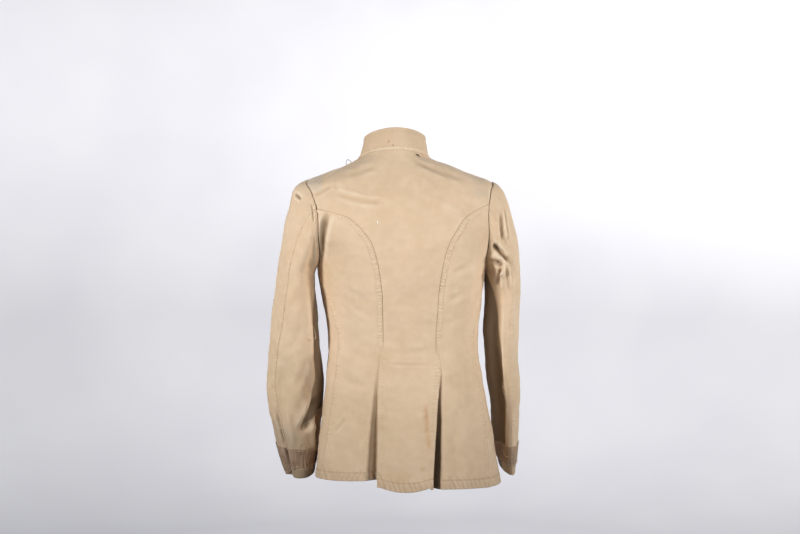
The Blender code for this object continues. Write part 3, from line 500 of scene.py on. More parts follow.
# Stitches: their size, and where their rows lie beside edges and on levels
STITCH_PITCH = 0.0033
STITCH_LENGTH = 0.0024
STITCH_RADIUS = 0.00032
STITCH_SINK = 0.00022
STITCH_LIFT = 0.00012
STITCH_RINGS = ((-1.0, 0.40), (-0.55, 1.0), (0.55, 1.0), (1.0, 0.40))
STITCH_SIDES = 4
ROW_POINTS = 400
ROW_NEAR = 0.0016
ROW_INSIDE = 0.001
ROW_GAP = 0.002
ROW_WIDE_GAP = 0.004
FELL_ROWS = (ROW_NEAR, FELL_BREADTH - ROW_INSIDE)
SIDE_ROWS = (ROW_NEAR, SIDE_FELL_BREADTH - ROW_INSIDE)
FRONT_ROWS = (0.0025, FACING_BREADTH - ROW_GAP)
FELL_ROW_BELOW = 0.006
FELL_ROW_SHORT = 0.012
PLEAT_ROWS = (0.0030,)
PLEAT_ROW_SHORT = 0.02
HEM_ROWS = (HEM_LEVEL + 0.0030, HEM_LEVEL + HEM_BREADTH)
SLEEVE_ROW_ENDS = (0.02, 0.985)
ARMHOLE_ROWS = (0.006,)
BRAID_ROWS = (0.08, 0.92)
COLLAR_ROWS = (0.135, 0.93)
CROSS_ENDS = (0.004, 0.996)

# Braid: how it lies on the sleeve, with one lobe of degrees, half breadth in degrees and drop
BRAID_LIFT = 0.0015
BRAID_EDGE = 0.0004
BRAID_EDGE_HALF = 0.09
BRAID_WANDER = 0.0016
BRAID_WRINKLE = 0.0006
BRAID_WRINKLE_CLOSER = 9
BRAID_WRINKLE_LENGTH = 0.06
BRAID_LOBE = {"left": (28.0, 30.0, 0.024), "right": (90.0, 60.0, 0.004)}
BRAID_WANDER_PITCH = 0.055
BRAID_LOWER_PITCH = 0.7
BRAID_LOWER_SHIFT = 0.02

# Collar: welt along the seam, folded top and pulled places by degrees, share up and half breadth
COLLAR_HEIGHT = 0.046
COLLAR_REACH = 0.066
WELT_RISE = 0.0012
WELT_AT = 0.0028
WELT_HALF = 0.0022
WELT_PUCKER_HALF = 0.003
COLLAR_PUCKER = 0.05
COLLAR_FOLD = 0.004
COLLAR_SLACK = 0.6
COLLAR_SNAGS = ((-18.0, 0.37, 0.0022), (-9.0, 0.20, 0.0018))
COLLAR_SNAG_DEPTH = 0.0012
COLLAR_SNAG_REACH = 0.062
COLLAR_DARKENING = 0.22
NECK_RIDGE_PALE = 1.0
NECK_RIDGE_END = 1.1
NECK_RIDGE_EASE = 0.4
COLLAR_FOOT = -0.07

# Thread round the ring's feet, and buttonholes
RING_WINDS = 4
RING_WIND_STEPS = 12
RING_WIND_RISE = 0.0020
HOLE_START = 0.004
HOLE_LENGTH = 0.0150
HOLE_HALF = 0.0011
HOLE_BEAD = 0.0007
HOLE_BEAD_OUT = 0.6
HOLE_STEPS = 60

# Rows of dark stitches on the left shoulder, as stops across and up: real stitch rows whose dark colour is
# painted shadow of the stitch holes
SHOULDER_ROWS = (
    ((-0.0939, -0.0180), (-0.1136, -0.0250), (-0.1341, -0.0380), (-0.1554, -0.0520)),
    ((-0.1876, -0.0710), (-0.1817, -0.0840)),
    ((-0.1845, -0.0680), (-0.1784, -0.0820)),
    ((-0.1708, -0.0490), (-0.1602, -0.0580)),
    ((-0.1620, -0.0470), (-0.1560, -0.0560)),
)

# A pulled white thread on the back, as stops across and up
PULLED_THREAD = ((-0.0476, -0.1345), (-0.0470, -0.1385), (-0.0458, -0.1425))
PULLED_RADIUS = 0.0010
PULLED_STEP = 16

# Loose threads on the sleeves: stops of degrees round, share along and height over the cloth
LOOSE_THREADS = {
    "left": (
        ((144.5, 0.437, 0.0004), (146.0, 0.458, 0.0040), (138.0, 0.479, 0.0060), (122.0, 0.489, 0.0045),
         (119.0, 0.480, 0.0030)),
        ((92.0, 0.880, 0.0020), (97.0, 0.868, 0.0030), (101.0, 0.871, 0.0022)),
    ),
    "right": (
        ((139.0, 0.913, 0.0030), (126.0, 0.926, 0.0060), (113.5, 0.930, 0.0050), (87.5, 0.928, 0.0025)),
        ((122.0, 0.660, 0.0004), (114.0, 0.676, 0.0050), (119.0, 0.694, 0.0040), (112.0, 0.722, 0.0010)),
        ((112.0, 0.668, 0.0004), (118.0, 0.684, 0.0040), (110.0, 0.700, 0.0008)),
    ),
}
LOOSE_RADIUS = 0.00062
LOOSE_STEPS = 40
THREAD_SIDES = 6
TUBE_SIDES = 8
TUBE_ASIDE = (0.31, 0.57, 0.76)

# Frayed ends at the braid's edges: shares of the reach and the lean at their root and their middle
FRAY_SEED = {"left": 31, "right": 32}
FRAY_COUNT = 26
FRAY_DEGREES = (-180.0, 180.0)
FRAY_REACH = (0.004, 0.014)
FRAY_RISE = (0.0005, 0.0030)
FRAY_LEAN = 9.0
FRAY_ROOT = 0.2
FRAY_MIDDLE = 0.5
FRAY_MIDDLE_LEAN = 0.3
FRAY_RADIUS = 0.00028
FRAY_STEPS = 8
FRAY_SIDES = 4

# Colours as seen, red, green and blue from 0 to 255
KHAKI = (222, 196, 166)
KHAKI_DEEP = (213, 186, 154)
KHAKI_PALE = (231, 208, 180)
# Lighter khaki for ridges of the relief and of the seam ripple, partly wear and partly painted highlight;
# darker khaki for troughs and ripple grooves, partly soil and partly painted shade, and for hems and the darker
# skirt and collar
KHAKI_LIGHTENED = (240, 222, 198)
KHAKI_DARKENED = (168, 138, 106)
KHAKI_UNFADED = (205, 190, 170)
SEAM_SHADE = (150, 122, 92)
# Colour of the painted shade in pleats, steep folds, sleeve undersides and at the cuffs
PLEAT_SHADE = (114, 96, 76)
RUST_STAIN = (196, 146, 96)
BRAID_DEEP = (136, 110, 92)
BRAID_PALE = (170, 142, 120)
# Lighter braid: for its chevrons, its ridges and the painted light on the right braid
BRAID_LIGHTENED = (196, 170, 146)
WHITE_THREAD_DEEP = (244, 236, 226)
WHITE_THREAD_PALE = (255, 252, 246)
# Dark thread for the shoulder stitches: painted shadow of their stitch holes
STITCH_SHADOW_DEEP = (116, 96, 74)
STITCH_SHADOW_PALE = (150, 126, 100)
THREAD_DEEP = (206, 180, 148)
THREAD_PALE = (236, 216, 188)
BRONZE_DEEP = (70, 54, 40)
BRONZE_PALE = (134, 104, 70)
WIRE_DEEP = (88, 84, 80)
WIRE_PALE = (150, 146, 140)
PAPER_DEEP = (232, 231, 235)
PAPER_PALE = (240, 240, 243)
SURROUND = (208, 224, 240)
SURROUND_STRENGTH = 0.115

# Weave and ripples: pitches, scales of the noises, and shares of the bump's height
TWILL_PITCH = 0.0011
FELL_RIPPLE = 0.0068
HEM_RIPPLE = 0.0105
BRAID_PITCH = 0.0026
WARP_SCALE = (900.0, 60.0, 1.0)
WEFT_SCALE = (60.0, 900.0, 1.0)
CLOUD_SCALE = 9.0
MOTTLE_SCALE = 55.0
GRAIN_SCALE = 240.0
RIPPLE_SCALE = 30.0
WOBBLE_SCALE = 38.0
WOBBLE = 9.0
FELL_LEAN = 150.0
HEM_LEAN = 0.4
TWILL_BUMP = 0.2
GRAIN_BUMP = 2.0
RIPPLE_BUMP = 1.9
BRAID_CLOUD_SCALE = 40.0
BRAID_GRAIN_SCALE = 420.0
BRAID_GRAIN_BUMP = 1.5
THREAD_SCALE = 160.0
TWIST_SCALE = 2500.0
BRONZE_SCALE = 260.0
WIRE_SCALE = 300.0
PIT_SCALE = 1800.0
PAPER_SCALE = 1.3

# Ranges over which a value goes from none to full
CLOUD_RANGE = (0.35, 0.65)
BRAID_CLOUD_RANGE = (0.35, 0.68)
METAL_RANGE = (0.38, 0.62)
PAPER_RANGE = (0.3, 0.7)
RIPPLE_RANGE = (0.36, 0.62, 0.15)
FELL_RANGE = (FELL_BREADTH + 0.001, FELL_BREADTH - 0.001)
HEM_RANGE = (HEM_BREADTH + 0.003, HEM_BREADTH - 0.001)
SEAM_LINE_RANGE = (0.0024, 0.0004)
HEM_LINE_RANGE = (0.0022, 0.0003)

# Tints: the range over which each comes in, and its full strength
MOTTLE_TINT = (0.40, 0.72, 0.35)
SLUB_TINT = (0.05, 0.45, 0.30)
LIGHTENED_TINT = (0.1, 1.0, 0.55)
DARKENED_TINT = (0.1, 1.0, 0.60)
RIDGE_TINT = (0.05, 1.0, 0.28)
GROOVE_TINT = (-0.05, -1.0, 0.20)
PAINTED_SHADE_TINT = (0.05, 0.9, 0.85)
CHEVRON_TINT = (0.2, 1.0, 0.35)
BRAID_LIGHTENED_TINT = (0.1, 1.0, 0.6)
HEM_TINT = 0.20
LINE_TINT = 0.6

# Bumps: strength and distance; roughness of metal where it is dark, and how much less where it is pale
DRILL_BUMP = (0.45, 0.00035)
BRAID_BUMP = (0.6, 0.0005)
THREAD_BUMP = (0.4, 0.0002)
METAL_BUMP = (0.25, 0.0002)
METAL_ROUGH = 0.62
METAL_POLISH = 0.22

# Stage: a round floor that sweeps up into a wall, camera and lights
FLOOR_Z = -1.5
WALL_RADIUS = 4.2
WALL_TOP = 3.2
SWEEP = 1.0
SWEEP_STEPS = 16
WALL_SEGMENTS = 96
FLOOR_POLE = 0.01
CAMERA_PLACE = (-0.2556, -2.3461, -0.2277)
CAMERA_DEGREES = (90.0, 0.0, -6.5)
CAMERA_LENS = 50.0
CAMERA_SENSOR = 36.0

# Lights: name, place, aim, size, spread in degrees, power and colour
BACK_AIM = (0.0, 0.0, -0.22)
FRONT_AIM = (0.0, 0.0, -0.3)
WARMEST = (1.0, 0.98, 0.95)
WARM = (1.0, 0.98, 0.96)
WALL_WHITE = (1.0, 0.985, 0.995)
LIGHTS = (
    ("key_left", (-2.05, -1.20, 0.06), BACK_AIM, 0.5, 60.0, 5.1, WARMEST),
    ("key_right", (2.05, -1.27, 0.06), BACK_AIM, 0.5, 60.0, 3.4, WARM),
    ("key_behind", (0.95, -2.30, 0.28), BACK_AIM, 0.6, 60.0, 2.6, WARM),
    ("wall_wash_left", (-2.1, 1.2, 1.1), (-1.0, 4.2, 1.4), 1.2, 180.0, 57.0, WALL_WHITE),
    ("wall_wash_right", (2.4, 1.2, 1.1), (1.3, 4.2, 1.1), 1.2, 180.0, 86.0, WALL_WHITE),
    ("wall_wash_middle", (0.4, 2.0, 1.5), (0.4, 4.2, -0.6), 1.0, 120.0, 14.0, WALL_WHITE),
    ("wall_wash_behind", (0.0, -1.4, 1.6), (0.0, -4.2, 0.2), 1.6, 180.0, 120.0, WALL_WHITE),
    ("wall_wash_side_left", (-1.7, -0.2, 1.9), (-4.2, -0.2, 0.3), 1.6, 120.0, 45.0, WALL_WHITE),
    ("wall_wash_side_right", (1.7, -0.2, 1.9), (4.2, -0.2, 0.3), 1.6, 120.0, 45.0, WALL_WHITE),
    ("front_high", (0.6, 2.6, 1.9), FRONT_AIM, 1.2, 60.0, 4.5, WARM),
    ("front_left", (-2.0, 2.6, 0.1), FRONT_AIM, 0.8, 60.0, 2.0, WARM),
    ("front_right", (2.7, 2.6, 0.1), FRONT_AIM, 0.8, 60.0, 2.6, WARM),
)


def cubic(start, end, rise, run, u):
    """Cubic from a start to an end as u goes from 0 to 1. Its slope is rise at the start and run at the end."""
    ends = start * (1 - u) ** 2 * (1 + 2 * u) + end * u**2 * (3 - 2 * u)
    return ends + rise * u * (1 - u) ** 2 - run * u**2 * (1 - u)


class Table:
    """Rows with named columns. Every column is read at any value of the first one, the key, on a cubic that
    never overshoots the rows."""

    def __init__(self, columns, rows):
        values = np.array(rows, float)
        self.key = values[:, 0]
        self.values = values[:, 1:]
        self.names = columns[1:]
        self.step = np.diff(self.key)
        slope = np.diff(self.values, axis=0) / self.step[:, None]
        before, after = slope[:-1], slope[1:]
        agree = before * after > 0
        within = np.where(agree, 2 * before * after / np.where(agree, before + after, 1.0), 0.0)
        self.tangent = np.concatenate([slope[:1], within, slope[-1:]])

    def split(self, at):
        """All columns after the key at some of its values, as one array each."""
        at = np.clip(np.asarray(at, float), self.key[0], self.key[-1])
        k = np.clip(np.searchsorted(self.key, at, side="right") - 1, 0, len(self.step) - 1)
        step = self.step[k]
        u = ((at - self.key[k]) / step)[..., None]
        rise = self.tangent[k] * step[..., None]
        run = self.tangent[k + 1] * step[..., None]
        read = cubic(self.values[k], self.values[k + 1], rise, run, u)
        return tuple(read[..., column] for column in range(len(self.names)))

    def read(self, name, at):
        """One column by its name."""
        return self.split(at)[self.names.index(name)]


def ease(u):
    """Smooth step from 0 to 1."""
    u = np.clip(u, 0.0, 1.0)
    return u * u * (3 - 2 * u)


TORSO_TABLE = Table(TORSO_COLUMNS, TORSO)
SIDE_SEAM_TABLE = Table(SIDE_SEAM_COLUMNS, SIDE_SEAM)
COLLAR_TOP_TABLE = Table(COLLAR_TOP_COLUMNS, COLLAR_TOP)
SLEEVE_SEAM_TABLE = Table(SLEEVE_SEAM_COLUMNS, SLEEVE_SEAM)
UNDERSIDE_TABLE = {side: Table(UNDERSIDE_COLUMNS, rows) for side, rows in UNDERSIDE.items()}
SLEEVE_TABLE = {side: Table(SLEEVE_COLUMNS, rows) for side, rows in SLEEVE.items()}
SIGN = {"left": -1.0, "right": 1.0}


def unit(vectors):
    """Vectors divided by their lengths."""
    return vectors / np.linalg.norm(vectors, axis=-1, keepdims=True)


def bell(distance, half_breadth):
    """Bell curve of a distance: 1 at 0, and 1/e at the half breadth."""
    return np.exp(-((distance / half_breadth) ** 2))


def wrapped(turn, before):
    """A turn as one between -before and a whole turn more."""
    return np.mod(turn + before, 2 * math.pi) - before


def run_of(line):
    """Length along a line of points, up to each of them."""
    return np.concatenate([[0.0], np.cumsum(np.linalg.norm(np.diff(line, axis=0), axis=-1))])


def torso(angle, height):
    """Point of the figure: a superellipse at each height, at an angle from the centre back towards +X."""
    sine, cosine = np.sin(angle), np.cos(angle)
    left, right, back, front, shift, back_power, front_power = TORSO_TABLE.split(height)
    half = np.where(sine < 0, left, right)
    power = np.where(cosine > 0, back_power, front_power)
    depth = np.where(cosine > 0, back, front)
    reach = ((np.abs(sine) / half) ** power + (np.abs(cosine) / depth) ** power) ** (-1 / power)
    return np.stack([shift + reach * sine, -reach * cosine, height + 0 * reach], axis=-1)


def reach_of(angle, height):
    """Distance of a point of the figure from the middle of its section."""
    point = torso(angle, height)
    return np.hypot(point[..., 0] - TORSO_TABLE.read("shift_x", height), point[..., 1])


def outward(surface, u, v, step=DIFFERENCE_STEP):
    """Unit normal of a surface with two parameters, from small differences both ways."""
    across = surface(u + step, v) - surface(u - step, v)
    along = surface(u, v + step) - surface(u, v - step)
    return unit(np.cross(across, along))


def angle_at(side, offset, height):
    """Angle of the point of the back that lies offset from its section's middle."""
    left, right, depth, _, _, power, _ = TORSO_TABLE.split(height)
    share = np.clip(offset / (left if side == "left" else right), 0.0, WIDEST_SHARE)
    return np.arctan2(offset, depth * (1 - share**power) ** (1 / power))


def armhole_base(low):
    """Degrees of the armhole's middle line, on a straight line from its top, 0, to its bottom, 1."""
    return ARMHOLE_TOP_DEGREES + (ARMHOLE_BOTTOM_DEGREES - ARMHOLE_TOP_DEGREES) * low


def armhole(turn, tuck=0.0):
    """Angle and height of the armhole's edge: turn 0 is at the shoulder, a quarter at the back. The oval is
    smaller by the tuck."""
    half = ARMHOLE_HALF - tuck
    base = armhole_base((1 - np.cos(turn)) / 2)
    spread = np.where(np.sin(turn) > 0, ARMHOLE_BACK_DEGREES, ARMHOLE_FRONT_DEGREES)
    spread = spread - np.degrees(tuck / ARMHOLE_REACH)
    return np.radians(base - spread * np.sin(turn)), ARMHOLE_MIDDLE + half * np.cos(turn)


def armhole_at(height, front):
    """Angle of a body panel's edge under the sleeve at a height, at the armhole's back or front."""
    half = ARMHOLE_HALF - TUCK_RUN
    turn = np.arccos(np.clip((height - ARMHOLE_MIDDLE) / half, -1.0, 1.0))
    return armhole(-turn if front else turn, TUCK_RUN)[0]


def shoulder_angle(height):
    """Angle of the shoulder seam between the armhole and the neck."""
    share = (height - ARMHOLE_TOP) / (NECK_SIDE - ARMHOLE_TOP)
    return np.radians(ARMHOLE_TOP_DEGREES + (NECK_SIDE_DEGREES - ARMHOLE_TOP_DEGREES) * share)


def join_height(side):
    """Height at which the curved back seam meets the armhole."""
    return armhole(math.radians(JOIN_TURN[side]))[1]


def princess_table(side):
    """Offsets of a curved back seam, with a last row where it meets the armhole."""
    top_angle, top = armhole(math.radians(JOIN_TURN[side]))
    top_offset = reach_of(SIGN[side] * top_angle, top) * np.sin(top_angle)
    column = PRINCESS_COLUMNS.index(side)
    rows = [(row[0], row[column]) for row in PRINCESS]
    return Table(("height", "offset"), rows + [(top, top_offset)])


PRINCESS_TABLE = {side: princess_table(side) for side in SIGN}


def princess_angle(side, height):
    """Angle of the curved back seam; its last stretch runs on to the armhole."""
    return angle_at(side, PRINCESS_TABLE[side].read("offset", height), height)


def side_seam_angle(side, height):
    """Angle of the side seam, from its table."""
    return np.radians(SIDE_SEAM_TABLE.read(side, height))


def back_edge(side, height):
    """Outer edge of the centre back: curved back seam, then armhole, then shoulder seam."""
    upper = np.where(height < ARMHOLE_TOP, armhole_at(height, False), shoulder_angle(height))
    return np.where(height < join_height(side), princess_angle(side, height), upper)


def side_edge(side, height, front):
    """Edge at the side: side seam, then armhole, then shoulder seam."""
    upper = np.where(height < ARMHOLE_TOP, armhole_at(height, front), shoulder_angle(height))
    return np.where(height < ARMHOLE_BOTTOM, side_seam_angle(side, height), upper)


def front_edge(height):
    """Angle of a front's free edge, just past the centre front."""
    return math.pi + FRONT_LAP / reach_of(math.pi + 0 * height, height)


def hem_drop(piece, share):
    """How far a panel's hem lies from the hem level, on a parabola through its edges and middle."""
    first, middle, last = HEM[piece]
    edges = first * (1 - share) * (1 - 2 * share) + last * share * (2 * share - 1)
    return edges + 4 * middle * share * (1 - share) - HEM_LEVEL


def hem_fade(height):
    """Share of the hem's drop that a height takes part in: all at the hem, none at the fade's top."""
    return np.clip((HEM_FADE_TOP - height) / (HEM_FADE_TOP - HEM_LEVEL), 0.0, 1.0)


def pleat_scale(side, height):
    """Share of the pleat's full size at a height, from none at its top to all at the hem."""
    top = PLEAT[side]["top"]
    return ease((top - height) / (top - HEM_LEVEL))


def pleat_places(side, height):
    """Distances from the back seam at which the pleat starts, is deepest and ends."""
    flat, bottom, end = (PLEAT[side][place] for place in ("flat", "bottom", "end"))
    breadth = PLEAT_LEAST_BREADTH + (1 - PLEAT_LEAST_BREADTH) * pleat_scale(side, height)
    return flat, flat + (bottom - flat) * breadth, flat + (end - flat) * breadth


def pleat_shape(side, angle, height):
    """Depth across the pleat, from 0 to 1: it falls in beside the back seam and climbs out again."""
    flat, bottom, end = pleat_places(side, height)
    across = (angle - princess_angle(side, height)) * reach_of(SIGN[side] * angle, height)
    fall = ease((across - flat) / (bottom - flat))
    climb = ease((end - across) / (end - bottom))
    return np.where(across < bottom, fall, climb)


def side_panel(side):
    """Surface of a side back panel: the figure, folded in beside the back seam as a pleat."""

    def surface(angle, height):
        inset = PLEAT[side]["depth"] * pleat_scale(side, height) * pleat_shape(side, angle, height)
        normal = outward(torso, SIGN[side] * angle, height)
        return torso(SIGN[side] * angle, height) - inset[..., None] * normal

    return surface


def front_panel(side):
    """Surface of a front: the figure, with the left front raised where it laps over the right one."""

    def surface(angle, height):
        point = torso(SIGN[side] * angle, height)
        if side == "right":
            return point
        lap = (FRONT_LAP + LAP_EASE) / reach_of(angle, height)
        ease_angle = LAP_EASE / reach_of(angle, height)
        rise = (HEM_CLOTH + LIE_GAP) * ease((angle - (math.pi - lap)) / ease_angle)
        return point + rise[..., None] * outward(torso, SIGN[side] * angle, height)

    return surface


def sleeve_tube(side, turn, height):
    """Point of a sleeve below the armhole: a tilted ellipse at each height."""
    centre_x, centre_y, half_width, half_depth, tilt = SLEEVE_TABLE[side].split(height)
    out = SIGN[side] * half_width * np.cos(turn)
    back = -half_depth * np.sin(turn)
    return np.stack([centre_x + out, centre_y + back, height + tilt * back], axis=-1)


def sleeve_fold(side, turn, along):
    """Height of the sleeve's folds: each is a bell across a line, fading at the line's two ends."""
    total = np.zeros(np.broadcast(turn, along).shape)
    turn = wrapped(turn, math.pi / 2)
    place = np.stack([turn * SLEEVE_GIRTH_RADIUS + 0 * along, along * SLEEVE_LENGTH + 0 * turn], axis=-1)
    for row in SLEEVE_FOLDS[side]:
        fold = dict(zip(FOLD_COLUMNS, row))
        sizes = np.array([SLEEVE_GIRTH_RADIUS, SLEEVE_LENGTH])
        start = sizes * (math.radians(fold["degrees_from"]), fold["along_from"])
        line = sizes * (math.radians(fold["degrees_to"]), fold["along_to"]) - start
        share = (place - start) @ line / (line @ line)
        across = (place - start) @ np.array([line[1], -line[0]]) / np.linalg.norm(line)
        fade = ease(share / FOLD_FADE + FOLD_FADE) * ease((1 - share) / FOLD_FADE + FOLD_FADE)
        total = total + fold["height"] * fade * bell(across, fold["half_breadth"])
    return total


def sleeve_form(side):
    """Surface of a sleeve without folds: a cubic leaves the armhole and runs into the tube."""

    def surface(turn, along):
        sign = SIGN[side]
        angle, height = armhole(turn)
        leave = outward(torso, sign * angle, height)
        start = torso(sign * angle, height) + LIE_GAP * leave + SEAM_GAP * np.array([sign, 0.0, 0.0])
        tube_top = SLEEVE_TABLE[side].key[-1]
        tube_end = SLEEVE_TABLE[side].key[0]
        join = sleeve_tube(side, turn, tube_top + 0 * turn)
        below = sleeve_tube(side, turn, tube_top - TUBE_LEAD + 0 * turn)
        length = np.linalg.norm(join - start, axis=-1, keepdims=True)
        low = ((1 - np.cos(turn)) / 2)[..., None]
        flank = np.abs(np.sin(turn))[..., None]
        share = {
            name: shoulder + (underarm - shoulder) * low
            for name, shoulder, underarm in zip(LEAVE_COLUMNS, LEAVE_AT_SHOULDER, LEAVE_AT_UNDERARM)
        }
        aim = share["sideways"] * np.array([sign, 0.0, 0.0]) + share["down"] * np.array([0.0, 0.0, -1.0])
        aim = aim + (share["off"] + LEAVE_AT_FLANKS * flank) * leave
        rise = LEAVE_PULL * length * aim / np.linalg.norm(aim, axis=-1, keepdims=True)
        run = length * (below - join) / np.linalg.norm(below - join, axis=-1, keepdims=True)
        u = np.clip(along / CAP_SHARE, 0.0, 1.0)[..., None]
        cap = cubic(start, join, rise, run, u)
        down = np.clip((along - CAP_SHARE) / (1 - CAP_SHARE), 0.0, 1.0)
        tube = sleeve_tube(side, turn, tube_top + (tube_end - tube_top) * down)
        return np.where((along < CAP_SHARE)[..., None], cap, tube)

    return surface


def sleeve_panel(side):
    """Surface of a sleeve with its largest folds."""
    form = sleeve_form(side)

    def surface(turn, along):
        normal = SIGN[side] * outward(form, turn, np.clip(along, SLEEVE_END_MARGIN, 1 - SLEEVE_END_MARGIN))
        return form(turn, along) + sleeve_fold(side, turn, along)[..., None] * normal

    return surface


def along_of(side, height):
    """Share of the sleeve's run at a height of its tube."""
    top = SLEEVE_TABLE[side].key[-1]
    end = SLEEVE_TABLE[side].key[0]
    return CAP_SHARE + (1 - CAP_SHARE) * (top - np.asarray(height)) / (top - end)


def neck_height(angle):
    """Height of the neck seam: a low arch over the back, easing down to the centre front."""
    size = np.abs(angle)
    side_angle = math.radians(NECK_SIDE_DEGREES)
    back = NECK_SIDE + NECK_BACK_RISE * (1 - (size / side_angle) ** 2)
    front = NECK_SIDE + (NECK_FRONT - NECK_SIDE) * ease((size - side_angle) / (math.pi - side_angle))
    return np.where(size < side_angle, back, front)


def collar_surface(angle, share):
    """Surface of the collar: straight from the neck seam to its top edge."""
    foot = torso(angle, neck_height(angle))
    foot[..., 2] += COLLAR_LIFT
    top_height, reach = COLLAR_TOP_TABLE.split(np.degrees(np.abs(angle)))
    top = np.stack([reach * np.sin(angle), -reach * np.cos(angle), top_height], axis=-1)
    share = share[..., None]
    return foot + (top - foot) * share


def creases(rows, across, up, shoulder=CREASE_SHOULDER):
    """Sum of soft folds: each is a bell across a bowed line, with a low bell of the other sign on both
    sides of it, and it fades in and out along the line."""
    total = np.zeros(np.broadcast(across, up).shape)
    for row in rows:
        fold = dict(zip(CREASE_COLUMNS, row))
        line_x = fold["to_x"] - fold["from_x"]
        line_z = fold["to_z"] - fold["from_z"]
        length = math.hypot(line_x, line_z)
        past_x = across - fold["from_x"]
        past_z = up - fold["from_z"]
        share = (past_x * line_x + past_z * line_z) / length**2
        aside = (past_x * line_z - past_z * line_x) / length - 4 * fold["bow"] * share * (1 - share)
        size = np.abs(aside) / fold["half_breadth"]
        form = np.exp(-(size**2)) - shoulder * np.exp(-((size - CREASE_SHOULDER_AT) ** 2))
        total = total + fold["height"] * ease(share / CREASE_FADE) * ease((1 - share) / CREASE_FADE) * form
    return total


def fold_shade(rows, across, up):
    """Painted shade inside placed troughs, from 0 to 1: the steeper a trough, the darker."""
    steep = [(*row[:6], max(-row[6] / row[5] - FOLD_OPEN, 0.0)) for row in rows]
    return np.clip(creases(steep, across, up, 0.0), 0.0, 1.0)


def slack(place, length, seed):
    """Soft unevenness of about -1 to 1: a mean of sines that run in scattered directions in space."""
    draw = np.random.default_rng(seed)
    ways = unit(draw.normal(size=(SLACK_WAVES, 3)))
    sizes = length * draw.uniform(*SLACK_SPREAD, SLACK_WAVES)
    starts = draw.uniform(0.0, 2 * math.pi, SLACK_WAVES)
    phase = place @ (2 * math.pi * ways / sizes[:, None]).T + starts
    return np.sin(phase).sum(axis=-1) / math.sqrt(SLACK_WAVES)


def with_slack(lift, place, seeds):
    """Relief with its long and its fine unevenness added."""
    lift = lift + SLACK * slack(place, SLACK_LENGTH, seeds[0])
    return lift + SLACK_FINE * slack(place, SLACK_FINE_LENGTH, seeds[1])


def pucker(along, pitch):
    """Uneven ripple of about -1 to 1 along a seam: a sine whose pitch and size wander."""
    turn = 2 * math.pi * along / pitch
    size = PUCKER_EVEN + PUCKER_UNEVEN * np.sin(turn / PUCKER_UNEVEN_PITCH + PUCKER_UNEVEN_START)
    return np.sin(turn + PUCKER_SWING * np.sin(turn / PUCKER_SWING_PITCH)) * size


def tucked(distance):
    """1 where an edge lies under its neighbour, easing to 0 just inside the seam."""
    return 1 - ease(distance / TUCK_EASE)


def band(distance, breadth):
    """1 from an edge to a breadth inside it, then easing to 0."""
    return 1 - ease((distance - breadth) / BAND_EASE)


def grid_normals(points):
    """Unit normals of a grid of points: the cross product of the differences along its rows and columns."""
    return unit(np.cross(np.gradient(points, axis=1), np.gradient(points, axis=0)))


class Panel:
    """One cut piece of cloth. Its plan turns a share across and a level along it into the two parameters
    of its surface, and its relief lifts that surface along its normal. Its sewing says where seams and hems
    lie on it."""

    def __init__(self, plan, surface, relief, sewing, sign):
        self.plan = plan
        self.surface = surface
        self.relief = relief
        self.sewing = sewing
        self.sign = sign

    def base(self, share, level):
        return self.surface(*self.plan(share, level))

    def normals(self, share, level):
        return self.sign * outward(self.surface, *self.plan(share, level))

    def points(self, share, level, lift=0.0):
        rise = self.relief(self, share, level) + lift
        return self.base(share, level) + rise[..., None] * self.normals(share, level)

    def grid(self, share, level):
        """Points and relief of a whole grid, with normals taken from the grid itself."""
        base = self.base(share, level)
        lift = self.relief(self, share, level)
        return base + lift[..., None] * self.sign * grid_normals(base), lift

    def unit_of(self, edge, level):
        """Metres for each unit of share at an edge, measured square to the edge: the breadth along the
        row by the sine of the angle between the row and the edge."""
        row = self.base(edge + SHARE_STEP, level) - self.base(edge - SHARE_STEP, level)
        line = edge + 0 * level
        way = self.base(line, level + DIFFERENCE_STEP) - self.base(line, level - DIFFERENCE_STEP)
        breadth = np.linalg.norm(row, axis=-1)
        sine = np.linalg.norm(np.cross(row, way), axis=-1) / breadth / np.linalg.norm(way, axis=-1)
        return breadth / (2 * SHARE_STEP) * np.maximum(sine, LEAST_SINE)

    def inside(self, edge, share, level):
        """Distance inside the first edge, 0, or the last one, 1; it is negative past the edge."""
        row = level[:, :1] if level.ndim == 2 else level
        return (share - edge) * (1 - 2 * edge) * self.unit_of(edge, row)

    def share_in(self, edge, level, distance):
        """Share at a distance inside an edge."""
        return edge + (1 - 2 * edge) * distance / self.unit_of(edge, level)

    def run_along(self, edge, share, level):
        """Length of an edge up to the foot of the square line from each grid point to it: the edge's own
        length at the point's row, and the way along the row times the cosine between row and edge."""
        rows = level[:, 0]
        line = self.base(edge + 0 * rows, rows)
        length = run_of(line)
        row = self.base(edge + SHARE_STEP, rows) - self.base(edge - SHARE_STEP, rows)
        way = unit(np.gradient(line, axis=0))
        slope = (row * way).sum(axis=-1) / (2 * SHARE_STEP)
        return length[:, None] + (share - edge) * slope[:, None]


def sewn_marks(like, *seams, **marks):
    """What the finish needs at each point of a grid: of the nearest seam its distance, the run along it and
    how much it is felled or drawn as a line, each from one row for a seam, and any more marks by name."""
    table = np.array([[item + 0 * like for item in seam] for seam in seams])
    best = np.argmin(np.abs(table[:, 0]), axis=0)
    distance, run, fell, line = np.take_along_axis(table, best[None, None], axis=0)[0]
    # deep carries painted shade, none unless a panel gives it
    found = {"seam_in": distance, "seam_run": run, "fell": fell, "line": line, "hem_up": FAR, "deep": 0.0}
    return {name: values + 0 * like for name, values in {**found, **marks}.items()}


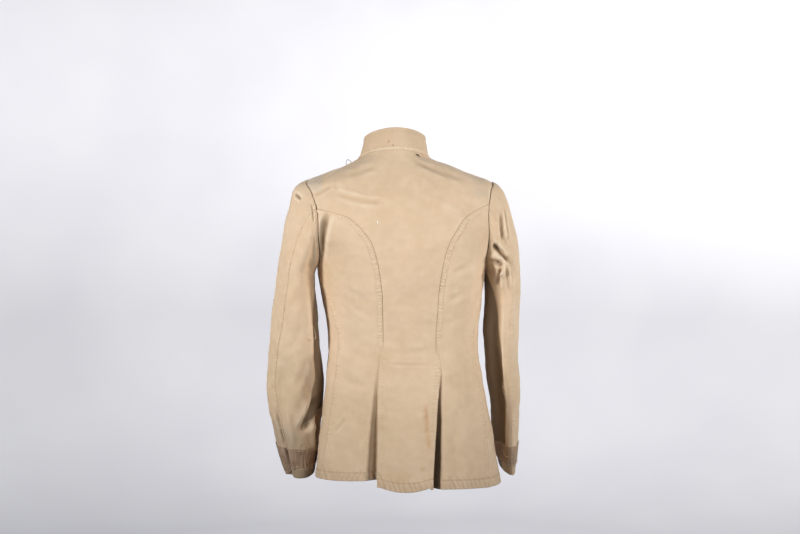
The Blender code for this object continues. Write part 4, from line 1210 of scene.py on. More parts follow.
def armhole_gap(angle, height):
    """About how far a point of the body lies outside the armhole's oval, negative inside it."""
    up = (height - ARMHOLE_MIDDLE) / ARMHOLE_HALF
    degrees = np.degrees(np.abs(angle)) - armhole_base((1 - np.clip(up, -1.0, 1.0)) / 2)
    spread = np.where(degrees < 0, ARMHOLE_BACK_DEGREES, ARMHOLE_FRONT_DEGREES)
    size = np.hypot(degrees / spread, up)
    return (size - 1) * ARMHOLE_HALF


def under_sleeve(angle, height):
    """How deep a body panel lies at the armhole: tucked under the sleeve's edge and sloping in past it."""
    gap = armhole_gap(angle, height)
    return ARMHOLE_TUCK * tucked(gap) + ARMHOLE_DIVE * np.maximum(-gap, 0.0)


def body_relief(place):
    """Relief that runs on over all body panels: placed creases of the back and the front, and slack."""
    across, depth, up = place[..., 0], place[..., 1], place[..., 2]
    front = ease((depth + SIDE_BLEND) / (2 * SIDE_BLEND))
    lift = (1 - front) * creases(BACK_CREASES, across, up) + front * creases(FRONT_CREASES, across, up)
    return with_slack(lift, place, BODY_SEEDS)


def hem_relief(angle, level):
    """A turned-up hem: a raised band, a groove at its stitching and puckers that lean across it."""
    up = level - HEM_LEVEL
    inside = band(up, HEM_BREADTH)
    round_hem = angle * ARMHOLE_REACH * HEM_PUCKER_REACH + HEM_PUCKER_LEAN * up
    ripple = pucker(round_hem, HEM_PUCKER_PITCH) * band(up, HEM_BREADTH + HEM_PUCKER_PAST)
    groove = HEM_GROOVE * HEM_RISE * bell(up - HEM_BREADTH, HEM_GROOVE_HALF)
    return HEM_RISE * inside + PUCKER * ripple - groove


def closed_above(side, height):
    """1 where a back seam is sewn shut, easing to 0 where its pleat opens."""
    return ease((height - PLEAT[side]["top"] + PLEAT_SHUT_BELOW) / PLEAT_SHUT_EASE)


def back_centre_panel():
    """Centre back: the figure between the two back seams. Its edges are tucked under the side panels above
    the pleats and lie over the pleats below; creases, slack and hem are added along the normal."""

    def plan(share, level):
        within = np.clip(share, 0.0, 1.0)
        height = level + hem_drop("back_centre", within) * hem_fade(level)
        first = -back_edge("left", height)
        last = back_edge("right", height)
        rise = NECK_BACK_RISE * ease((level - ARMHOLE_TOP) / (NECK_SIDE - ARMHOLE_TOP))
        return first + (last - first) * share, height + rise * (1 - (2 * within - 1) ** 2)

    def relief(panel, share, level):
        angle, height = plan(share, level)
        lift = body_relief(torso(angle, height)) + hem_relief(angle, level)
        for edge, side in enumerate(SIGN):
            distance = panel.inside(edge, share, level)
            shut = closed_above(side, height)
            lift = lift - TUCK * shut * tucked(distance)
            lift = lift + OPEN_FELL_RISE * (1 - shut) * FELL_RISE * band(distance, FELL_BREADTH)
            ripple = CENTRE_PUCKER * PUCKER * pucker(level, PUCKER_PITCH)
            lift = lift + ripple * bell(distance - CENTRE_PUCKER_IN, CENTRE_PUCKER_HALF)
        return lift - under_sleeve(angle, height)

    def sewing(panel, share, level):
        angle, height = plan(share, level)
        seams = [(armhole_gap(angle, height), 0.0, 0.0, ARMHOLE_LINE)]
        for edge, side in enumerate(SIGN):
            shut = closed_above(side, height)
            on_seam = height < join_height(side)
            distance = np.where(on_seam, panel.inside(edge, share, level), FAR)
            fell = (1 - shut) * OPEN_FELL[side] * ease((height - OPEN_FELL_END) / OPEN_FELL_EASE)
            seams.append((distance, panel.run_along(edge, share, level), fell, shut))
        return sewn_marks(level, *seams, hem_up=level - HEM_LEVEL)

    return Panel(plan, torso, relief, sewing, 1.0)


def back_side_panel(side):
    """Side back: the figure folded in as a pleat below the waist. A felled band runs along each seam, and
    the armhole edge is tucked under the sleeve."""
    name = f"back_side_{side}"

    def plan(share, level):
        height = level + hem_drop(name, np.clip(share, 0.0, 1.0)) * hem_fade(level)
        first = princess_angle(side, height)
        last = side_edge(side, height, False)
        return first + (last - first) * share, height

    def relief(panel, share, level):
        angle, height = plan(share, level)
        signed = SIGN[side] * angle
        settle = ease(armhole_gap(angle, height) / BACK_SETTLE)
        lift = settle * body_relief(torso(signed, height)) + hem_relief(signed, level)
        back = panel.inside(0, share, level)
        shut = closed_above(side, height)
        flank = panel.inside(1, share, level)
        below = ease((ARMHOLE_BOTTOM - height) / SIDE_FELL_EASE)
        lift = lift + shut * FELL_RISE * band(back, FELL_BREADTH)
        lift = lift - (1 - shut) * TUCK * tucked(back - PLEAT_TUCK_IN)
        lift = lift + below * FELL_RISE * band(flank, SIDE_FELL_BREADTH)
        ripple = shut * PUCKER * pucker(level, PUCKER_PITCH)
        lift = lift + ripple * bell(back - BACK_PUCKER_IN, BACK_PUCKER_HALF)
        ripple = below * PUCKER * pucker(level + SIDE_PUCKER_SHIFT, PUCKER_PITCH)
        lift = lift + ripple * bell(flank - SIDE_PUCKER_IN, SIDE_PUCKER_HALF)
        return lift - under_sleeve(angle, height)

    def sewing(panel, share, level):
        angle, height = plan(share, level)
        below = ease((ARMHOLE_BOTTOM - height) / SIDE_FELL_EASE)
        back = panel.inside(0, share, level)
        flank = np.where(height < ARMHOLE_BOTTOM, panel.inside(1, share, level), FAR)
        place = torso(SIGN[side] * angle, height)
        # Painted shade in the pleat and in the steep placed troughs
        depth = pleat_shape(side, angle, height) * pleat_scale(side, height)
        pleat = PLEAT_PAINTED_SHADE[side] * ease(depth / PLEAT_FULL)
        folds = FOLD_PAINTED_SHADE * fold_shade(BACK_CREASES, place[..., 0], place[..., 2])
        return sewn_marks(
            level,
            (back, panel.run_along(0, share, level), closed_above(side, height), 0.0),
            (flank, panel.run_along(1, share, level), SIDE_FELL * below, SIDE_LINE * below),
            (armhole_gap(angle, height), 0.0, 0.0, ARMHOLE_LINE),
            hem_up=level - HEM_LEVEL,
            deep=np.maximum(pleat, folds),
        )

    return Panel(plan, side_panel(side), relief, sewing, SIGN[side])


def front_plan(side, share, level):
    """Angle and height of a front's points: level rows at the side that slope to the neck at the centre."""
    name = f"front_{side}"
    low = np.minimum(level, ARMHOLE_BOTTOM)
    arm = np.clip((level - ARMHOLE_BOTTOM) / (ARMHOLE_TOP - ARMHOLE_BOTTOM), 0.0, 1.0)
    neck = np.clip((level - ARMHOLE_TOP) / (NECK_SIDE - ARMHOLE_TOP), 0.0, 1.0)
    middle = low + arm * (FRONT_AT_SHOULDER - ARMHOLE_BOTTOM) + neck * (NECK_FRONT - FRONT_AT_SHOULDER)
    first = side_edge(side, level + hem_drop(name, np.array(0.0)) * hem_fade(level), True)
    angle = first + (front_edge(middle) - first) * share
    line = level + (middle - level) * ease((angle - first) / (math.pi - first))
    return angle, line + hem_drop(name, np.clip(share, 0.0, 1.0)) * hem_fade(line)


def front_cloth(side):
    """Front: the figure from side seam to free edge. It is tucked under the side back and the sleeve, lies
    over the back at the shoulder, and has a doubled free edge."""

    def plan(share, level):
        return front_plan(side, share, level)

    def relief(panel, share, level):
        angle, height = plan(share, level)
        signed = SIGN[side] * angle
        flank = panel.inside(0, share, level)
        below = ease((ARMHOLE_BOTTOM - level) / FRONT_TUCK_EASE)
        above = ease((level - ARMHOLE_TOP) / SHOULDER_EASE)
        settle = np.maximum(above, ease(armhole_gap(angle, height) / FRONT_SETTLE))
        lift = settle * body_relief(torso(signed, height)) + hem_relief(signed, level)
        free = panel.inside(1, share, level)
        lift = lift - below * TUCK * tucked(flank) + above * FELL_RISE * band(flank, SIDE_FELL_BREADTH)
        lift = lift + FELL_RISE * band(free, FACING_BREADTH) - LAP_SETTLE[side] * tucked(free)
        return lift - (1 - above) * under_sleeve(angle, height)

    def sewing(panel, share, level):
        angle, height = plan(share, level)
        below = ease((ARMHOLE_BOTTOM - level) / FRONT_TUCK_EASE)
        above = ease((level - ARMHOLE_TOP) / SHOULDER_EASE)
        flank = np.where(below + above > 0, panel.inside(0, share, level), FAR)
        return sewn_marks(
            level,
            (flank, panel.run_along(0, share, level), SHOULDER_FELL * above, FRONT_LINE * below),
            (armhole_gap(angle, height), 0.0, 0.0, ARMHOLE_LINE),
            hem_up=level - HEM_LEVEL,
        )

    return Panel(plan, front_panel(side), relief, sewing, SIGN[side])


def sleeve_creases(side, turn, along, shape=creases):
    """Finer folds of a sleeve, or their painted shade, on its girth and length laid flat."""
    turn = wrapped(turn, SLEEVE_TURN_START)
    rows = []
    for row in SLEEVE_CREASES[side]:
        fold = dict(zip(FINE_COLUMNS, row))
        rows.append((
            math.radians(fold["degrees_from"]) * SLEEVE_GIRTH_RADIUS, fold["along_from"] * SLEEVE_LENGTH,
            math.radians(fold["degrees_to"]) * SLEEVE_GIRTH_RADIUS, fold["along_to"] * SLEEVE_LENGTH,
            fold["bow"], fold["half_breadth"], fold["height"],
        ))
    return shape(rows, turn * SLEEVE_GIRTH_RADIUS, along * SLEEVE_LENGTH)


def underside(side, turn, along):
    """Painted shade of a sleeve's underside: full between two lines round the sleeve, eased at both."""
    degrees = np.degrees(wrapped(turn, SLEEVE_TURN_START))
    start = UNDERSIDE_TABLE[side].read("from", along)
    stop = UNDERSIDE_TABLE[side].read("to", along)
    inside = ease((degrees - start) / UNDERSIDE_EASE) * ease((stop - degrees) / UNDERSIDE_EASE + 1.0)
    return UNDERSIDE_PAINTED_SHADE[side] * inside


def sleeve_relief(side, turn, along):
    """Relief that runs on over both pieces of a sleeve: finer folds, gathers at the armhole and slack."""
    place = sleeve_form(side)(turn, along)
    girth = turn * SLEEVE_GIRTH_RADIUS * GATHER_CLOSER
    gathers = pucker(girth, HEM_PUCKER_PITCH) * bell(along, GATHER_RUN)
    lift = with_slack(sleeve_creases(side, turn, along), place, SLEEVE_SEEDS)
    return ease(along / GATHER_RUN) * lift + PUCKER * gathers


def sleeve_cloth(side, piece):
    """Sleeve piece: the bent tube between the fore seam and the hind seam. The upper piece has a felled band
    at the hind seam, and the under piece is tucked under it at both seams."""

    def plan(share, along):
        hind = SLEEVE_SEAM_TABLE.read(f"hind_{side}", along)
        fore = SLEEVE_SEAM_TABLE.read("fore", along)
        first, last = (fore, hind) if piece == "upper" else (hind, fore + 360)
        return np.radians(first + (last - first) * share), along

    def relief(panel, share, along):
        turn, _ = plan(share, along)
        lift = sleeve_relief(side, turn, along)
        first = panel.inside(0, share, along)
        last = panel.inside(1, share, along)
        if piece == "under":
            return lift - TUCK * (tucked(first) + tucked(last))
        ripple = pucker(along * SLEEVE_LENGTH, PUCKER_PITCH)
        lift = lift + SLEEVE_FELL_RISE * band(last, SIDE_FELL_BREADTH)
        return lift + PUCKER * ripple * bell(last - SIDE_PUCKER_IN, SIDE_PUCKER_HALF)

    def sewing(panel, share, along):
        first = panel.inside(0, share, along)
        last = panel.inside(1, share, along)
        down = along * SLEEVE_LENGTH
        turn, _ = plan(share, along)
        # Painted shade on the khaki below the braid, on the cloth just above it, in steep folds and on the
        # underside
        tip = CUFF_TIP_PAINTED_SHADE[side] * ease((along - along_of(side, BAND_BOTTOM)) / CUFF_TIP_SHADE_EASE)
        near_cuff = CUFF_SHADE[side] * ease((along - along_of(side, BAND_TOP)) / CUFF_SHADE_RUN + 1.0)
        folds = FOLD_PAINTED_SHADE * sleeve_creases(side, turn, along, fold_shade)
        return sewn_marks(
            down,
            (last, down, SLEEVE_FELL[piece], 0.0),
            (first, down, 0.0, 0.0),
            (down, turn * 2 * SLEEVE_GIRTH_RADIUS, ARMHOLE_FELL, 0.0),
            deep=np.maximum.reduce([folds, tip, near_cuff, underside(side, turn, along)]),
        )

    return Panel(plan, sleeve_panel(side), relief, sewing, SIGN[side])


def braid_band(side):
    """Braid: a strip round the sleeve between two uneven lines, lifted off the sleeve's own relief, with a
    thick edge on both sides."""
    top = along_of(side, BAND_TOP)
    bottom = along_of(side, BAND_BOTTOM)

    def plan(share, level):
        start = math.radians(SLEEVE_SEAM_TABLE.read(f"hind_{side}", bottom))
        turn = start + 2 * math.pi * share
        girth = turn * SLEEVE_GIRTH_RADIUS
        wander = BRAID_WANDER * (1 - level) * pucker(girth, BRAID_WANDER_PITCH)
        lower = pucker(girth + BRAID_LOWER_SHIFT, BRAID_LOWER_PITCH * BRAID_WANDER_PITCH)
        wander = wander + BRAID_WANDER * level * lower
        lobe_degrees, lobe_half, lobe_drop = BRAID_LOBE[side]
        away = wrapped(turn - math.radians(lobe_degrees), math.pi)
        wander = wander + lobe_drop * level * bell(away, math.radians(lobe_half))
        return turn, top + (bottom - top) * level + wander / SLEEVE_LENGTH

    def relief(panel, share, level):
        turn, along = plan(share, level)
        edge = bell(np.minimum(level, 1 - level), BRAID_EDGE_HALF)
        girth = BRAID_WRINKLE_CLOSER * turn * SLEEVE_GIRTH_RADIUS
        flat = np.stack([girth, along * SLEEVE_LENGTH, 0 * turn], axis=-1)
        wrinkle = slack(flat, BRAID_WRINKLE_LENGTH, BRAID_SEED)
        return sleeve_relief(side, turn, along) + BRAID_LIFT + BRAID_EDGE * edge + BRAID_WRINKLE * wrinkle

    def sewing(panel, share, level):
        # The right braid gets painted light, the left one none
        return sewn_marks(share, (FAR, 0.0, 0.0, 0.0), worn=BRAID_PAINTED_LIGHT[side])

    return Panel(plan, sleeve_panel(side), relief, sewing, SIGN[side])


def collar_cloth():
    """Stand collar: straight from the neck seam to the top edge, with a welt along the seam, a rounded top
    and two small pulled places."""
    end = math.pi - COLLAR_OPENING / 2 / COLLAR_TOP[-1][2]

    def plan(share, level):
        return end * (2 * share - 1), level

    def relief(panel, share, level):
        angle, _ = plan(share, level)
        place = collar_surface(angle, level)
        up = level * COLLAR_HEIGHT
        lift = WELT_RISE * bell(up - WELT_AT, WELT_HALF) + FELL_RISE * band(COLLAR_HEIGHT - up, COLLAR_FOLD)
        beside = bell(up - WELT_AT, WELT_PUCKER_HALF) + COLLAR_PUCKER
        lift = lift + PUCKER * pucker(angle * COLLAR_REACH, PUCKER_PITCH) * beside
        for degrees, height, half in COLLAR_SNAGS:
            aside = (angle - math.radians(degrees)) * COLLAR_SNAG_REACH
            away = np.hypot(aside, (level - height) * COLLAR_HEIGHT)
            lift = lift - COLLAR_SNAG_DEPTH * bell(away, half)
        return lift + COLLAR_SLACK * SLACK * slack(place, SLACK_LENGTH, COLLAR_SEED)

    def sewing(panel, share, level):
        angle, _ = plan(share, level)
        up = level * COLLAR_HEIGHT
        behind = ease((NECK_RIDGE_END - np.abs(angle)) / NECK_RIDGE_EASE)
        pale = NECK_RIDGE_PALE * bell(up - WELT_AT, WELT_HALF) * behind
        # The collar darker all over, and darker still at the two pulled places
        dark = COLLAR_DARKENING + 0 * angle
        for degrees, height, half in COLLAR_SNAGS:
            away = np.hypot((angle - math.radians(degrees)) * COLLAR_REACH, (level - height) * COLLAR_HEIGHT)
            dark = dark + bell(away, half)
        return sewn_marks(level, (up, angle * COLLAR_REACH, COLLAR_FELL, 0.0), worn=pale, soiled=dark)

    return Panel(plan, collar_surface, relief, sewing, 1.0)


def close_to_ends(count):
    """Shares from 0 to 1 that lie closer together near both ends."""
    even = np.linspace(0.0, 1.0, count)
    return even - GRID_PULL * np.sin(2 * math.pi * even) / (2 * math.pi)


def panel_grid(panel, kind, first_level, last_level, first_run, last_run):
    """Shares and levels of a piece's grid; each row runs past its edges by the given tucked lengths."""
    rows, columns = GRID[kind]
    level = np.linspace(first_level, last_level, rows)[:, None]
    start = -first_run / panel.unit_of(0, level)
    stop = 1 + last_run / panel.unit_of(1, level)
    share = start + (stop - start) * close_to_ends(columns)
    return share, level + 0 * share


def body_run(kind):
    """Length by which each row of a body panel runs on under its neighbours: none where shoulder and armhole
    meet, so that no corner shows."""
    level = np.linspace(HEM_LEVEL, NECK_SIDE, GRID[kind][0])[:, None]
    return TUCK_RUN * ease(np.abs(level - ARMHOLE_TOP) / CORNER_REACH - CORNER_START)


def shell(points, thickness, sign):
    """Closed thin shell on a grid: the grid, the same grid moved in along its normals, and a rounded rim.
    Returns its points, its faces and, for each point, the grid point that it belongs to."""
    rows, columns = points.shape[:2]
    size = rows * columns
    index = np.arange(size).reshape(rows, columns)
    inner = points - thickness * sign * grid_normals(points)
    way = np.zeros_like(points)
    way[0] += points[0] - points[1]
    way[-1] += points[-1] - points[-2]
    way[:, 0] += points[:, 0] - points[:, 1]
    way[:, -1] += points[:, -1] - points[:, -2]
    loop = np.concatenate([index[0, :-1], index[:-1, -1], index[-1, :0:-1], index[:0:-1, 0]])
    after = np.roll(loop, -1)
    middle = ((points + inner) / 2).reshape(-1, 3)[loop]
    rim = middle + RIM_SWELL * unit(way.reshape(-1, 3)[loop])
    edge = 2 * size + np.arange(len(loop))
    edge_after = np.roll(edge, -1)
    corners = [index[:-1, :-1], index[:-1, 1:], index[1:, 1:], index[1:, :-1]]
    outer_faces = np.stack(corners, axis=-1).reshape(-1, 4)
    inner_faces = outer_faces[:, ::-1] + size
    rim_outer = np.stack([after, loop, edge, edge_after], -1)
    rim_inner = np.stack([edge_after, edge, loop + size, after + size], -1)
    faces = np.concatenate([outer_faces, inner_faces, rim_outer, rim_inner])
    owner = np.concatenate([index.ravel(), index.ravel(), loop])
    every = np.concatenate([points.reshape(-1, 3), inner.reshape(-1, 3), rim])
    return every, faces if sign > 0 else faces[:, ::-1], owner


def flat_map(points):
    """Cloth laid flat, in metres: distance across each row from its middle, and along the middle column."""
    across = np.linalg.norm(np.diff(points, axis=1), axis=-1)
    across = np.concatenate([np.zeros((len(points), 1)), np.cumsum(across, axis=1)], axis=1)
    middle = points.shape[1] // 2
    along = run_of(points[:, middle])
    return np.stack([across - across[:, middle:middle + 1], along[:, None] + 0 * across], axis=-1)


def flat_size(points):
    """Breadth, length and area of a grid of cloth laid flat."""
    across = np.linalg.norm(np.diff(points, axis=1), axis=-1).sum(axis=1).max()
    along = np.linalg.norm(np.diff(points, axis=0), axis=-1).sum(axis=0).max()
    one = points[1:, 1:] - points[:-1, :-1]
    other = points[1:, :-1] - points[:-1, 1:]
    area = np.linalg.norm(np.cross(one, other), axis=-1).sum() / 2
    return float(across), float(along), float(area)


def blurred(values):
    """Values of a grid averaged with their neighbours, several times over."""
    for _ in range(TONE_PASSES):
        padded = np.pad(values, 1, mode="edge")
        beside = padded[:-2, 1:-1] + padded[2:, 1:-1] + padded[1:-1, :-2] + padded[1:-1, 2:]
        values = (beside + 2 * values) / 6
    return values


def patches(across, up):
    """Strength of the unfaded patches: soft-edged boxes."""
    total = np.zeros(across.shape)
    for row in UNFADED:
        patch = dict(zip(PATCH_COLUMNS, row))
        sides = ease((across - patch["from_x"]) / PATCH_EASE) * ease((patch["to_x"] - across) / PATCH_EASE)
        ends = ease((up - patch["from_z"]) / PATCH_EASE) * ease((patch["to_z"] - up) / PATCH_EASE)
        total = total + patch["strength"] * sides * ends
    return total


def plain_tones(points, lift):
    """Ridges of the relief lighter, partly wear and partly painted highlight, and its troughs darker, partly
    soil and partly painted shade.
    """
    proud = (lift - blurred(lift)) / TONE_DEPTH
    none = np.zeros(proud.shape)
    return {"worn": np.clip(proud, 0.0, 1.0), "soiled": TROUGH_SOIL_AND_SHADE * np.clip(-proud, 0.0, 1.0),
            "stained": none, "unfaded": none}


def body_tones(points, lift):
    """The plain tones with stains, unfaded patches and a skirt that is darker towards its hem."""
    tones = plain_tones(points, lift)
    across, depth, up = points[..., 0], points[..., 1], points[..., 2]
    behind = ease(-depth / SIDE_BLEND)
    blotch = STAIN_EVEN + STAIN_UNEVEN * slack(points, STAIN_LENGTH, STAIN_SEED)
    tones["stained"] = behind * creases(STAINS, across, up, 0.0) * blotch
    tones["unfaded"] = patches(across, up)
    tones["soiled"] = tones["soiled"] + SKIRT_DARKENING * ease((SKIRT_DARKENING_TOP - up) / SKIRT_DARKENING_EASE)
    return tones


def placed(name, data):
    """A new object of the scene that holds a mesh, a light or a camera."""
    item = bpy.data.objects.new(name, data)
    bpy.context.collection.objects.link(item)
    return item


def smooth_mesh(name, points, faces, material):
    """A mesh from arrays, with smooth shading and one material."""
    mesh = bpy.data.meshes.new(name)
    mesh.from_pydata(points, [], faces)
    mesh.shade_smooth()
    mesh.materials.append(material)
    return mesh


def add_piece(name, points, faces, material, slot="khaki_drill", nodes=()):
    """A smooth mesh object from arrays that rides with the jacket and stands for the named nodes."""
    piece = placed(name, smooth_mesh(name, points, faces, material))
    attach(piece, "root")
    if nodes:
        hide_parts(*nodes)
    return piece


def add_cloth(name, panel, grid, thickness, material, slot, held, rests_on, tones):
    """A cloth piece: the panel's grid as a thin shell with its flat map, its sewing and its tones."""
    share, level = grid
    points, lift = panel.grid(share, level)
    every, faces, owner = shell(points, thickness, panel.sign)
    piece = add_piece(f"{name}_cloth", every, faces, material, slot, (name,))
    mesh = piece.data
    layer = mesh.uv_layers.new(name="cloth")
    corner = np.empty(len(mesh.loops), np.int32)
    mesh.loops.foreach_get("vertex_index", corner)
    flat = flat_map(points).reshape(-1, 2)[owner[corner]]
    layer.data.foreach_set("uv", flat.astype(np.float32).ravel())
    marks = panel.sewing(panel, share, level)
    for key, values in tones(points, lift).items():
        marks[key] = marks.get(key, 0.0) + values
    for key, values in marks.items():
        attribute = mesh.attributes.new(key, "FLOAT", "POINT")
        attribute.data.foreach_set("value", values.ravel()[owner].astype(np.float32))
    across, along, area = flat_size(points)
    return piece


def cut_slit(piece):
    """Cuts the small lens-shaped slit under the collar seam: its edge is an oval whose height is squared, so
    that both ends are sharp, drawn on the body's tangent plane and pushed through."""
    centre, long, short, normal = slit_frame()
    turns = np.linspace(0.0, 2 * math.pi, 2 * SLIT_STEPS, endpoint=False)[:, None]
    rise = SLIT_BREADTH / 2 * np.sin(turns) * np.abs(np.sin(turns))
    ring = centre + SLIT_LENGTH / 2 * np.cos(turns) * long + rise * short
    points = np.concatenate([ring - SLIT_CUT_REACH * normal, ring + SLIT_CUT_REACH * normal])
    mesh = bpy.data.meshes.new("slit_cutter")
    mesh.from_pydata(points, [], ring_faces(2, len(turns)))
    tool = placed("slit_cutter", mesh)
    cut = piece.modifiers.new("slit", "BOOLEAN")
    cut.operation = "DIFFERENCE"
    cut.solver = "MANIFOLD"
    cut.object = tool
    solved = piece.evaluated_get(bpy.context.evaluated_depsgraph_get())
    piece.data = bpy.data.meshes.new_from_object(solved)
    piece.modifiers.clear()
    bpy.data.objects.remove(tool)


def slit_frame():
    """Middle of the slit under the collar seam, with its long way, its short way and the body's normal."""
    angle = np.array(math.radians(SLIT_DEGREES))
    height = neck_height(angle) - SLIT_DROP
    normal = outward(torso, angle, height)
    across = unit(np.cross((0.0, 0.0, 1.0), normal))
    up = np.cross(normal, across)
    lean = math.radians(SLIT_LEAN_DEGREES)
    long = math.cos(lean) * across + math.sin(lean) * up
    short = math.cos(lean) * up - math.sin(lean) * across
    return torso(angle, height), long, short, normal


def add_slit_lip(thread):
    """Turned upper lip of the slit: a soft roll along the upper half of its edge, thickest in the middle."""
    centre, long, short, normal = slit_frame()
    turn = np.linspace(LIP_END, math.pi - LIP_END, SLIT_STEPS)[:, None]
    rise = SLIT_BREADTH / 2 * np.sin(turn) ** 2
    path = centre + SLIT_LENGTH / 2 * np.cos(turn) * long + rise * short + SLIT_LIP * normal
    radius = SLIT_LIP * (LIP_THIN + LIP_SWELL * np.sin(turn[:, 0]))
    add_piece("slit_lip", *tube(path, radius), thread)


def ring_faces(rings, sides):
    """Faces of a tube of rings of points: four corners between each ring and the next, then its two ends."""
    index = np.arange(rings * sides).reshape(rings, sides)
    after = np.roll(index, -1, axis=1)
    around = np.stack([index[:-1], after[:-1], after[1:], index[1:]], axis=-1).reshape(-1, 4)
    return [*around.tolist(), index[0, ::-1].tolist(), index[-1].tolist()]


def sewn(panel, share, level):
    """Stitches along a line of a panel."""
    return stitched(panel.points(share, level, STITCH_LIFT), panel.normals(share, level))


def stitched(line, normals):
    """Stitches along a line: middles a pitch apart, with the line's direction and the normal."""
    run = run_of(line)
    at = np.arange(STITCH_PITCH / 2, run[-1], STITCH_PITCH)

    def read(vectors, place):
        return np.stack([np.interp(place, run, part) for part in vectors.T], axis=-1)

    ahead = read(line, at + STITCH_LENGTH / 2)
    behind = read(line, at - STITCH_LENGTH / 2)
    return read(line, at), unit(ahead - behind), unit(read(normals, at))


def add_stitches(name, runs, material):
    """All stitches of some rows as one piece: each is a short thread whose two ends sink into the cloth."""
    middle, along, normal = (np.concatenate(parts) for parts in zip(*runs))
    aside = unit(np.cross(normal, along))
    up = np.cross(along, aside)
    place, girth = np.array(STITCH_RINGS).T
    turn = 2 * math.pi * (np.arange(STITCH_SIDES) + 0.5) / STITCH_SIDES
    reach = (place * STITCH_LENGTH / 2)[None, :, None, None] * along[:, None, None, :]
    sink = (STITCH_SINK * place**2)[None, :, None, None] * up[:, None, None, :]
    ring = np.cos(turn)[:, None] * aside[:, None, None, :] + np.sin(turn)[:, None] * up[:, None, None, :]
    points = middle[:, None, None, :] + reach - sink + STITCH_RADIUS * girth[None, :, None, None] * ring
    one = np.array(ring_faces(len(place), STITCH_SIDES))
    faces = one[None] + (np.arange(len(middle)) * len(place) * STITCH_SIDES)[:, None, None]
    add_piece(name, points.reshape(-1, 3), faces.reshape(-1, 4), material)


def on_back(stops):
    """Line on the left of the back through stops across and up, with its normals."""
    across, up = np.array(stops, float).T
    share = np.linspace(0.0, 1.0, len(stops))
    at = np.linspace(0.0, 1.0, ROW_POINTS)
    across, up = np.interp(at, share, across), np.interp(at, share, up)
    angle = -angle_at("left", TORSO_TABLE.read("shift_x", up) - across, up)
    place = torso(angle, up)
    normals = outward(torso, angle, up)
    return place + (body_relief(place) + STITCH_LIFT)[:, None] * normals, normals


def tube(path, radius, sides=TUBE_SIDES):
    """Round thread along a path: a ring of points square to the path at each of its points, closed at the
    ends."""
    way = unit(np.gradient(path, axis=0))
    aside = unit(np.cross(way, TUBE_ASIDE))
    up = np.cross(way, aside)
    turn = 2 * math.pi * np.arange(sides) / sides
    ring = np.cos(turn)[:, None] * aside[:, None, :] + np.sin(turn)[:, None] * up[:, None, :]
    size = np.broadcast_to(radius, len(path))
    points = path[:, None, :] + size[:, None, None] * ring
    return points.reshape(-1, 3), ring_faces(len(path), sides)


def joined(parts):
    """Several lists of points and faces as one."""
    points, faces, start = [], [], 0
    for part_points, part_faces in parts:
        points.append(part_points)
        faces.extend([[corner + start for corner in face] for face in part_faces])
        start += len(part_points)
    return np.concatenate(points), faces


def through(stops, count):
    """Smooth curve through a few stops: each coordinate is a cubic in the distance along them."""
    stops = np.array(stops, float)
    run = run_of(stops)
    at = np.linspace(0.0, run[-1], count)
    table = Table(("run", "x", "y", "z"), np.concatenate([run[:, None], stops], axis=1))
    return np.stack(table.split(at), axis=-1)


def on_sleeve(side, stops):
    """Points over a sleeve, from stops of degrees round it, share along it and height over its cloth."""
    degrees, along, lift = np.array(stops, float).T
    turn = np.radians(degrees)
    surface = sleeve_panel(side)
    normal = SIGN[side] * outward(surface, turn, along)
    return surface(turn, along) + (sleeve_relief(side, turn, along) + lift)[:, None] * normal


def add_loose_threads(side, thread):
    """Loose ends of thread on a sleeve, and short frayed ends that stick out of both edges of its braid."""
    threads = []
    for stops in LOOSE_THREADS[side]:
        threads.append(tube(through(on_sleeve(side, stops), LOOSE_STEPS), LOOSE_RADIUS, THREAD_SIDES))
    draw = np.random.default_rng(FRAY_SEED[side])
    for edge, way in ((along_of(side, BAND_TOP), -1), (along_of(side, BAND_BOTTOM), 1)):
        for degrees in draw.uniform(*FRAY_DEGREES, FRAY_COUNT):
            reach = way * draw.uniform(*FRAY_REACH)
            lean = draw.uniform(-FRAY_LEAN, FRAY_LEAN)
            rise = BRAID_LIFT + draw.uniform(*FRAY_RISE)
            stops = (
                (degrees, edge - FRAY_ROOT * reach, BRAID_LIFT),
                (degrees + FRAY_MIDDLE_LEAN * lean, edge + FRAY_MIDDLE * reach, rise),
                (degrees + lean, edge + reach, BRAID_LIFT),
            )
            threads.append(tube(through(on_sleeve(side, stops), FRAY_STEPS), FRAY_RADIUS, FRAY_SIDES))
    add_piece(f"loose_threads_{side}", *joined(threads), thread)


def add_button(number, height, material):
    """Domed button: a profile of radius and rise turned round the cloth's normal at its seat."""
    surface = front_panel("left")
    angle, place = np.array(math.pi), np.array(height)
    normal = SIGN["left"] * outward(surface, angle, place)
    seat = surface(angle, place) + BUTTON_SEAT * normal
    aside = unit(np.cross(normal, (0.0, 0.0, 1.0)))
    up = np.cross(normal, aside)
    profile = dict(zip(BUTTON_COLUMNS, np.array(BUTTON_PROFILE).T))
    turn = 2 * math.pi * np.arange(BUTTON_SEGMENTS) / BUTTON_SEGMENTS
    circle = np.cos(turn)[:, None] * aside + np.sin(turn)[:, None] * up
    reach = BUTTON_RADIUS * np.maximum(profile["radius"], BUTTON_POLE)
    rise = BUTTON_RISE * profile["rise"]
    points = seat + reach[:, None, None] * circle + rise[:, None, None] * normal
    index = np.arange(len(reach) * BUTTON_SEGMENTS).reshape(len(reach), BUTTON_SEGMENTS)
    after = np.roll(index, -1, axis=1)
    faces = np.stack([index[:-1], index[1:], after[1:], after[:-1]], -1).reshape(-1, 4).tolist()
    caps = [index[0].tolist(), index[-1, ::-1].tolist()]
    name = f"button_{number}"
    add_piece(f"{name}_dome", points.reshape(-1, 3), faces + caps, material, "button_bronze", (name,))


